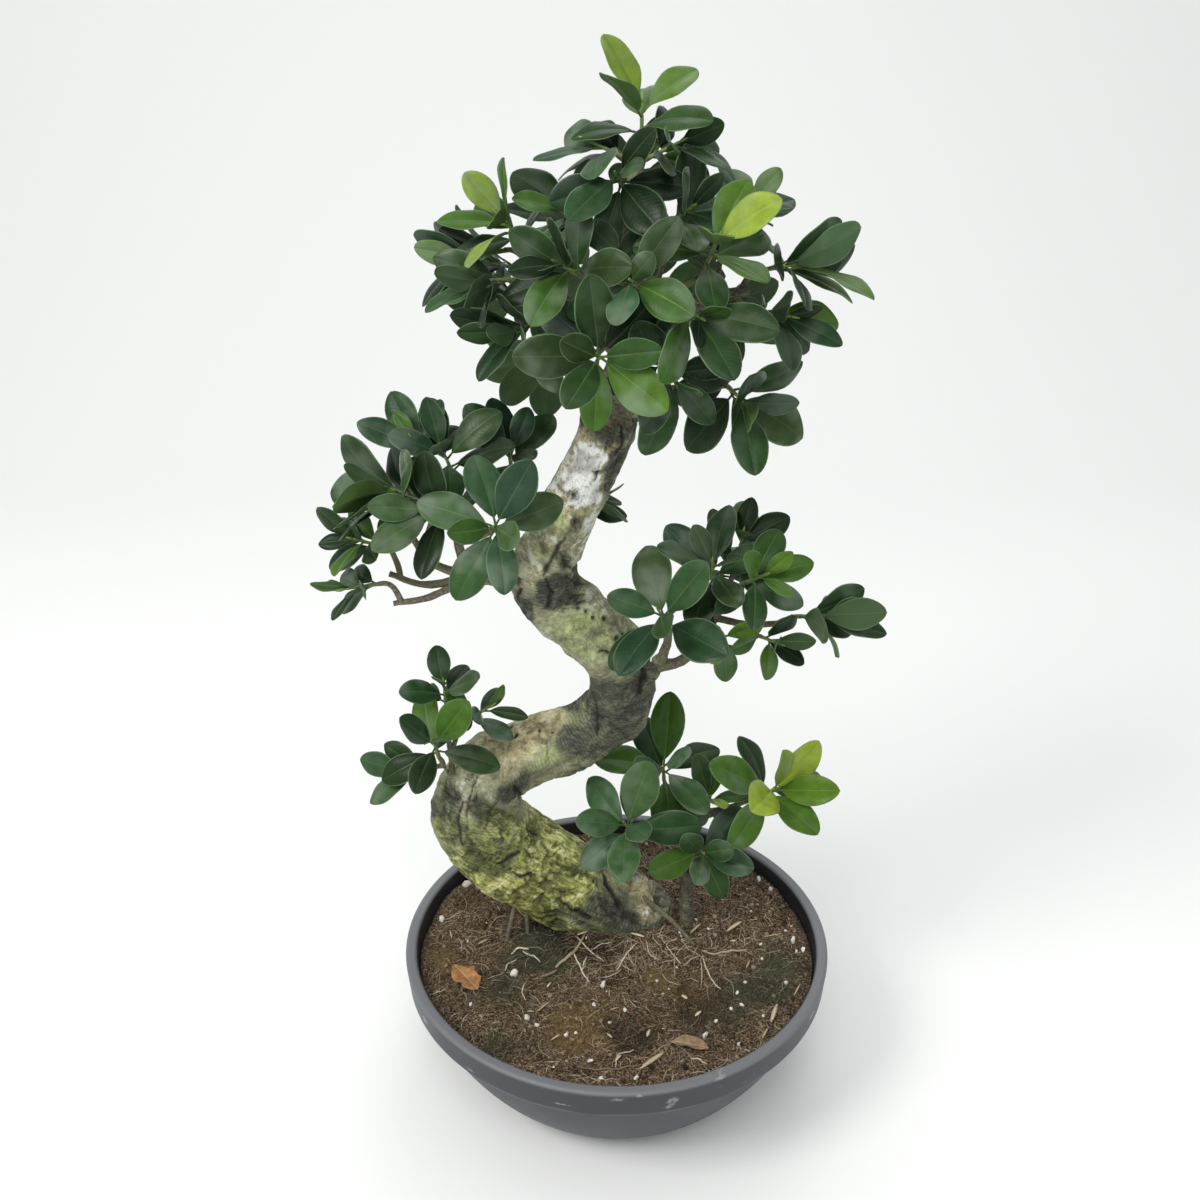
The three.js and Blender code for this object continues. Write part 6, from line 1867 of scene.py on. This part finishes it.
def strands(name, look, places, rng, material, shades=None):
    """Many thin curved strands that lie on the soil, all in one mesh."""
    count, sides, rows = len(places), look["sides"], look["rows"]
    headings, lengths, radii = (draws(rng, count, *look[key]) for key in ("heading", "length", "radius"))
    curls = (rng.random(count) - 0.5) * look["curl"]
    lifts = draws(rng, count, *look["lift"])
    if shades is None:
        shades = rng.random(count)
    t = np.linspace(-0.5, 0.5, rows)
    turn = headings[:, None] + curls[:, None] * t
    step = lengths[:, None] / (rows - 1)
    x = np.cumsum(np.cos(turn) * step, 1)
    y = np.cumsum(np.sin(turn) * step, 1)
    x += places[:, :1] - x.mean(1, keepdims=True)
    y += places[:, 1:] - y.mean(1, keepdims=True)
    shrink = np.minimum(1, REACH["strand"] / np.hypot(x, y))
    x, y = x * shrink, y * shrink
    base = soil_surface(np.stack([x.ravel(), y.ravel()], -1)).reshape(x.shape)
    z = base + radii[:, None] + lifts[:, None] * (LITTER["strand_lift"] + np.cos(np.pi * t) ** 2)
    line = np.stack([x, y, z], -1)
    along = unit(np.gradient(line, axis=1) + 1e-9)
    across = unit(np.cross(along, UP))
    above = np.cross(across, along)
    angle = np.arange(sides) * 2 * np.pi / sides
    taper = radii[:, None] * (1 - LITTER["strand_taper"] * (2 * np.abs(t)) ** 3)
    rings = line[:, :, None] + taper[..., None, None] * (
        np.cos(angle)[:, None] * across[:, :, None] + np.sin(angle)[:, None] * above[:, :, None]
    )
    faces = grid_faces(rows, sides, True).tolist() + end_caps(rows, sides)
    faces = repeated(faces, rows * sides, count)
    tone = np.repeat(litter_tone(places, shades), rows * sides, axis=0)
    make_piece(name, rings.reshape(-1, 3), faces, material, (), {"tone": tone})


def ball(levels):
    """Points and faces of a unit ball made from an even net of triangles."""
    work = bmesh.new()
    bmesh.ops.create_icosphere(work, subdivisions=levels, radius=1)
    points = np.array([v.co[:] for v in work.verts])
    faces = [[v.index for v in f.verts] for f in work.faces]
    work.free()
    return points, faces


def grains(name, look, places, sizes, shades):
    """Many lumpy grains in one mesh; their look says how much moss and gold they take on."""
    points, one = ball(look["levels"])
    rng = np.random.default_rng(look["shape_seed"])
    centres = np.column_stack([places, soil_surface(places) + sizes * look["seat"]])
    turn = rng.random((len(centres), 3)) * 2 * np.pi
    least, gain = LITTER["stretch"]
    stretch = least + gain * rng.random((len(centres), 3))
    lumps = 1 + look["rough"] * (rng.random((len(centres), len(points))) - 0.5)
    body = points[None] * stretch[:, None] * lumps[..., None]
    for k, (i, j) in enumerate(((0, 1), (1, 2), (2, 0))):
        c, s = np.cos(turn[:, k])[:, None], np.sin(turn[:, k])[:, None]
        a, b = body[..., i].copy(), body[..., j].copy()
        body[..., i], body[..., j] = a * c - b * s, a * s + b * c
    body = body * sizes[:, None, None] + centres[:, None]
    faces = repeated(one, len(points), len(centres))
    tone = litter_tone(centres, shades) * (1, look["stained"], look["stained"])
    tone = np.repeat(tone, len(points), axis=0)
    material = litter_material(name, look["roughness"])
    make_piece(name, body.reshape(-1, 3), faces, material, (), {"tone": tone})


# White grains by pixel, with their radius in millimetres.
PERLITE = [
    (467, 886, 3.6), (455, 884, 1.7), (442, 921, 2.2), (514, 975, 2.5), (603, 986, 2.6), (594, 1006, 2.3),
    (527, 1019, 2.2), (537, 1026, 1.6), (590, 1062, 2.3), (601, 1080, 1.6), (636, 1079, 2.0),
    (705, 1037, 2.6), (739, 1046, 2.1), (793, 942, 3.0), (803, 952, 1.8), (796, 952, 1.4), (759, 881, 2.3),
    (772, 890, 2.0), (737, 995, 1.5), (625, 1011, 1.7), (762, 960, 1.2), (745, 983, 1.2), (786, 984, 1.4),
    (742, 1006, 1.8), (731, 1010, 1.3), (576, 1034, 1.2), (716, 1023, 1.6), (648, 1034, 1.3),
]
# Roots that lie on the soil: pixels along them, radius in millimetres and shade.
ROOTLETS = [
    ([(512, 956), (516, 951), (522, 950), (529, 951)], 0.9, 0.95),
    ([(523, 953), (532, 957), (540, 963)], 0.7, 0.9),
    ([(556, 969), (565, 962), (573, 954), (585, 937)], 1.3, 0.6),
    ([(573, 953), (580, 969), (589, 984)], 0.7, 0.95), ([(587, 958), (584, 965), (582, 971)], 0.6, 0.9),
    ([(576, 938), (588, 950), (604, 963)], 0.7, 0.8), ([(636, 944), (626, 957), (616, 972)], 0.7, 0.85),
    ([(702, 953), (714, 956), (730, 953), (747, 952)], 0.9, 0.6),
    ([(541, 978), (549, 976), (557, 972)], 1.3, 0.2), ([(661, 938), (670, 952), (681, 966)], 0.6, 0.7),
    ([(702, 957), (707, 973), (714, 985), (721, 991)], 0.7, 0.75),
    ([(700, 960), (702, 973), (701, 985)], 0.5, 0.7), ([(699, 958), (692, 960), (684, 968)], 0.5, 0.7),
    ([(616, 1068), (618, 1058), (624, 1054), (634, 1052)], 0.6, 0.8),
    ([(691, 1060), (700, 1062), (707, 1066)], 0.6, 0.8), ([(600, 980), (612, 977), (622, 970)], 0.5, 0.8),
    ([(646, 942), (650, 955), (660, 962)], 0.5, 0.75), ([(590, 952), (600, 946), (612, 944)], 0.5, 0.7),
    ([(505, 973), (508, 966), (517, 961)], 0.6, 0.8), ([(525, 985), (522, 993), (526, 1001)], 0.5, 0.8),
    ([(575, 1068), (600, 1071), (620, 1070), (640, 1068)], 0.7, 0.15),
    ([(660, 975), (668, 983), (680, 986)], 0.5, 0.5),
]
# Bits of straw and chips of bark: two pixels, width in millimetres and shade.
STRAWS = [
    ((640, 1071), (664, 1053), 4.6, 0.75), ((690, 935), (700, 927), 2.2, 0.8),
    ((727, 934), (741, 925), 3.8, 0.85), ((771, 1024), (777, 1007), 4.0, 0.8),
    ((577, 938), (590, 932), 2.8, 0.75), ((631, 935), (644, 940), 3.0, 1.0),
    ((538, 1013), (550, 1003), 1.8, 0.7), ((762, 1041), (768, 1030), 2.0, 0.7),
    ((794, 998), (800, 986), 1.8, 0.7), ((547, 989), (551, 984), 2.2, 0.9),
    ((647, 1038), (650, 1030), 2.4, 0.9), ((695, 1019), (701, 1014), 3.2, 0.9),
    ((682, 996), (687, 1001), 3.6, 0.9), ((607, 1036), (612, 1041), 1.8, 0.9),
    ((730, 941), (736, 942), 3.0, 0.85), ((478, 947), (488, 941), 2.8, 0.7),
    ((461, 879), (464, 864), 4.4, 0.15), ((763, 938), (782, 936), 1.6, 0.7),
    ((527, 1012), (534, 1014), 1.8, 0.75), ((551, 1042), (560, 1039), 1.8, 0.8),
    ((615, 1063), (621, 1058), 2.4, 0.85), ((450, 932), (452, 940), 1.6, 0.8),
    ((746, 970), (750, 962), 1.6, 0.7), ((610, 1012), (618, 1009), 1.6, 0.7),
]


def rootlets(material):
    """The single roots of the photograph that lie on the soil."""
    shapes = Shapes()
    share, above = ROOTLET["seat"]
    for pixels, radius, shade in ROOTLETS:
        line = np.array([soil_point(u, v) for u, v in pixels])
        points, _ = curve_through(np.column_stack([line, np.ones(len(line))]), ROOTLET["steps"])
        sway = np.stack([field(points, ROOTLET["sway_size"], 520 + k) for k in range(2)], -1)
        points[:, :2] += ROOTLET["sway"] * sway
        points[:, 2] = soil_surface(points) + radius * share + above
        taper = 1 - ROOTLET["taper"] * np.abs(np.linspace(-1, 1, len(points))) ** 3
        radii = radius * taper * (1 + ROOTLET["uneven"] * field(points, ROOTLET["uneven_size"], 530))
        shapes.add(*tube(points, radii, ROOTLET["sides"]), tone=(shade, 0, 0))
    shapes.piece("surface_roots", material, "soil")


def straws(material):
    """Flat bits of straw and chips of bark, pointed at both ends."""
    shapes = Shapes()
    share = np.linspace(0, 1, STRAW["rows"])[:, None]
    start_at, span = STRAW["ends"]
    thin, thicker = STRAW["thick"]
    for number, (start, end, width, shade) in enumerate(STRAWS):
        a, b = soil_point(*start), soil_point(*end)
        line = mix(a, b, share)
        side = unit(np.cross(unit(b - a), UP))
        half = side * (width / 2 * np.sin(np.pi * (start_at + span * share)) ** STRAW["blunt"])
        bow = STRAW["bow"] * np.sin(np.pi * share[:, 0])
        lift = soil_surface(line).max() + STRAW["seat"] + bow - line[:, 2]
        line = line + UP * lift[:, None] + UP * (chance(number) * STRAW["tilt"] * share)
        thick = UP * (thin + thicker * width)
        rings = np.stack([line - half, line + thick, line + half, line - thick], 1)
        faces = grid_faces(len(line), 4, True).tolist() + end_caps(len(line), 4)
        shapes.add(rings, faces, tone=(shade, 0, 0))
    shapes.piece("straws", material, "soil")


def litter():
    """Coir, fine roots, crumbs, perlite and straw over the soil."""
    places, rng = on_soil(COIR["count"], COIR["seed"])
    n = len(places)
    pale = rng.random(n) < COIR["pale_share"]
    shades = np.where(pale, draws(rng, n, *COIR["pale"]), draws(rng, n, *COIR["dark"]))
    strands("coir_fibres", COIR, places, rng, litter_material("coir", COIR["roughness"]), shades)
    root_look = litter_material("fine_roots", FINE_ROOTS["roughness"])
    places, rng = on_soil(FINE_ROOTS["count"], FINE_ROOTS["seed"])
    near = rng.normal(size=(FINE_ROOTS["more"], 2)) * FINE_ROOTS["spread"]
    near = soil_point(*FINE_ROOTS["near"])[:2] + near
    places = np.vstack([places, near[np.hypot(*near.T) < REACH["strand"]]])
    strands("fine_roots", FINE_ROOTS, places, rng, root_look)
    places, rng = on_soil(CRUMBS["count"], CRUMBS["seed"])
    n = len(places)
    sizes, shades = draws(rng, n, *CRUMBS["size"]), draws(rng, n, *CRUMBS["shade"])
    grains("crumbs", CRUMBS, places, sizes, shades)
    single = [soil_point(u, v)[:2] for u, v, _ in PERLITE]
    places, rng = on_soil(WHITE["count"], WHITE["seed"], REACH["grain"])
    sizes = [size for _, _, size in PERLITE] + draws(rng, len(places), *WHITE["size"]).tolist()
    places = np.vstack([single, places])
    grains("perlite", WHITE, places, np.array(sizes), draws(rng, len(places), *WHITE["shade"]))
    rootlets(root_look)
    straws(litter_material("straw", STRAW["roughness"]))


# Fallen leaves: place on the soil and size in millimetres, turn in degrees, and how warm, curled and torn.
FALLEN = {
    "orange": {
        "x": -126, "y": -46, "turn": 40, "length": 34, "width": 22, "warm": 1.0, "curl": 0.35, "torn": 0.5,
    },
    "brown": {
        "x": 56, "y": -120, "turn": 82, "length": 30, "width": 13, "warm": 0.15, "curl": 0.55, "torn": 0.2,
    },
}
DRY = {"bend": 0.2, "number": 900, "crinkle": (1.1, 7), "fine_crinkle": (0.5, 3), "tear": 4.5, "seat": 0.3}


def fallen_leaves(material):
    """The two dry leaves, crinkled and torn at their edges, lying on the soil."""
    for number, (name, place) in enumerate(FALLEN.items()):
        turn = math.radians(place["turn"])
        direction = np.array([math.sin(turn), -math.cos(turn), 0])
        root = np.array([place["x"], place["y"], 0]) - direction * place["length"] / 2
        leaf = {
            "root": root, "direction": direction, "upper": UP, "length": place["length"],
            "width": place["width"], "bend": DRY["bend"], "stalk": 0.0,
        }
        points, faces, values = blade(leaf, DRY["number"] + number, 0.0, place["curl"])
        where, tone = values["leaf"], values["tone"]
        away = np.abs(where[:, 0])
        height, size = DRY["crinkle"]
        fine_height, fine_size = DRY["fine_crinkle"]
        crinkle = height * field(points, size, 70 + number) * away
        points[:, 2] += crinkle + fine_height * field(points, fine_size, 72) * away
        middle = root[:2] + direction[:2] * (place["length"] * where[:, 1])[:, None]
        torn = place["torn"] * step_up(field(points, DRY["tear"], 75 + number), -0.2, 0.7) * away ** 3
        points[:, :2] = mix(points[:, :2], middle, torn[:, None])
        points[:, 2] += DRY["seat"] + (soil_surface(points) - points[:, 2]).max()
        tone[:, 0] = place["warm"]
        tone[:, 1] = STALK_LOOK["light"]
        values = {"leaf": where, "tone": tone}
        make_piece("dry_" + name, points, faces, material, ["fallen_leaf_" + name], values)


# Studio: colours, and in metres where its floor runs back and curves up.
STUDIO = {
    "floor": (0.87, 0.88, 0.875), "world": (0.97, 0.98, 0.975), "strength": 0.72,
    "front": -4.0, "back": 1.4, "curve": 1.2, "curve_rows": 25, "top": 5.0, "half_width": 6.0,
    "aim": (0, 0, 0.4),
}
# Lights: place and size in metres, power in watts and colour.
LIGHTS = [
    ("key", (-1.5, -1.2, 2.1), 1.0, 33, (1.0, 0.985, 0.96)),
    ("front", (-0.1, -1.7, 2.3), 1.2, 17, (1.0, 1.0, 1.0)),
    ("back", (0.3, 1.2, 2.3), 1.4, 9, (1.0, 1.0, 1.0)),
]


def studio_floor():
    """The pale floor that curves up behind the plant."""
    back, curve, side = STUDIO["back"], STUDIO["curve"], STUDIO["half_width"]
    rows = [(STUDIO["front"], 0.0), (back, 0.0)]
    turns = np.linspace(0, math.pi / 2, STUDIO["curve_rows"])[1:]
    rows += [(back + curve * math.sin(a), curve - curve * math.cos(a)) for a in turns]
    rows.append((back + curve, STUDIO["top"]))
    points = [(x, y, z) for y, z in rows for x in (-side, side)]
    mesh = bpy.data.meshes.new("studio_floor")
    mesh.from_pydata(points, [], grid_faces(len(rows), 2, False).tolist())
    mesh.shade_smooth()
    material, _, shader, _ = new_material("pale_paper", Roughness=0.9, Specular_IOR_Level=0.1)
    shader.inputs["Base Color"].default_value = (*STUDIO["floor"], 1)
    mesh.materials.append(material)
    floor = bpy.data.objects.new("studio_floor", mesh)
    bpy.context.scene.collection.objects.link(floor)


def studio():
    """A pale floor, soft light from the upper left, and the photograph's camera."""
    world = bpy.data.worlds.new("studio")
    world.use_nodes = True
    sky = world.node_tree.nodes["Background"]
    sky.inputs["Color"].default_value = (*STUDIO["world"], 1)
    sky.inputs["Strength"].default_value = STUDIO["strength"]
    bpy.context.scene.world = world
    studio_floor()
    for name, place, size, power, colour in LIGHTS:
        data = bpy.data.lights.new(name, "AREA")
        data.shape, data.size, data.energy, data.color = "DISK", size, power, colour
        light = bpy.data.objects.new(name, data)
        light.location = place
        light.rotation_euler = (Vector(STUDIO["aim"]) - Vector(place)).to_track_quat("-Z", "Y").to_euler()
        bpy.context.scene.collection.objects.link(light)
    data = bpy.data.cameras.new("camera")
    data.sensor_fit, data.sensor_width, data.lens = "HORIZONTAL", CAMERA["sensor"], CAMERA["lens"]
    data.clip_start, data.clip_end = CAMERA["clip"]
    camera = bpy.data.objects.new("camera", data)
    camera.location = CAMERA["place"]
    camera.rotation_euler = (math.radians(CAMERA["pitch"]), 0, 0)
    bpy.context.scene.collection.objects.link(camera)
    bpy.context.scene.camera = camera
    bpy.context.scene.view_settings.view_transform = "Standard"


def build():
    """Every piece, from the leaves to the studio."""
    shoots = all_shoots()
    leaves = place_leaves(shoots)
    leafy_shoots(shoots, leaves, leaf_material())
    shoot_stems(shoots, stem_material())
    trunk_bark(bark_material())
    branches(shoots, branch_material())
    plastic_bowl(plastic_material())
    soil_body(soil_material())
    litter()
    fallen_leaves(dry_leaf_material())
    studio()


build()
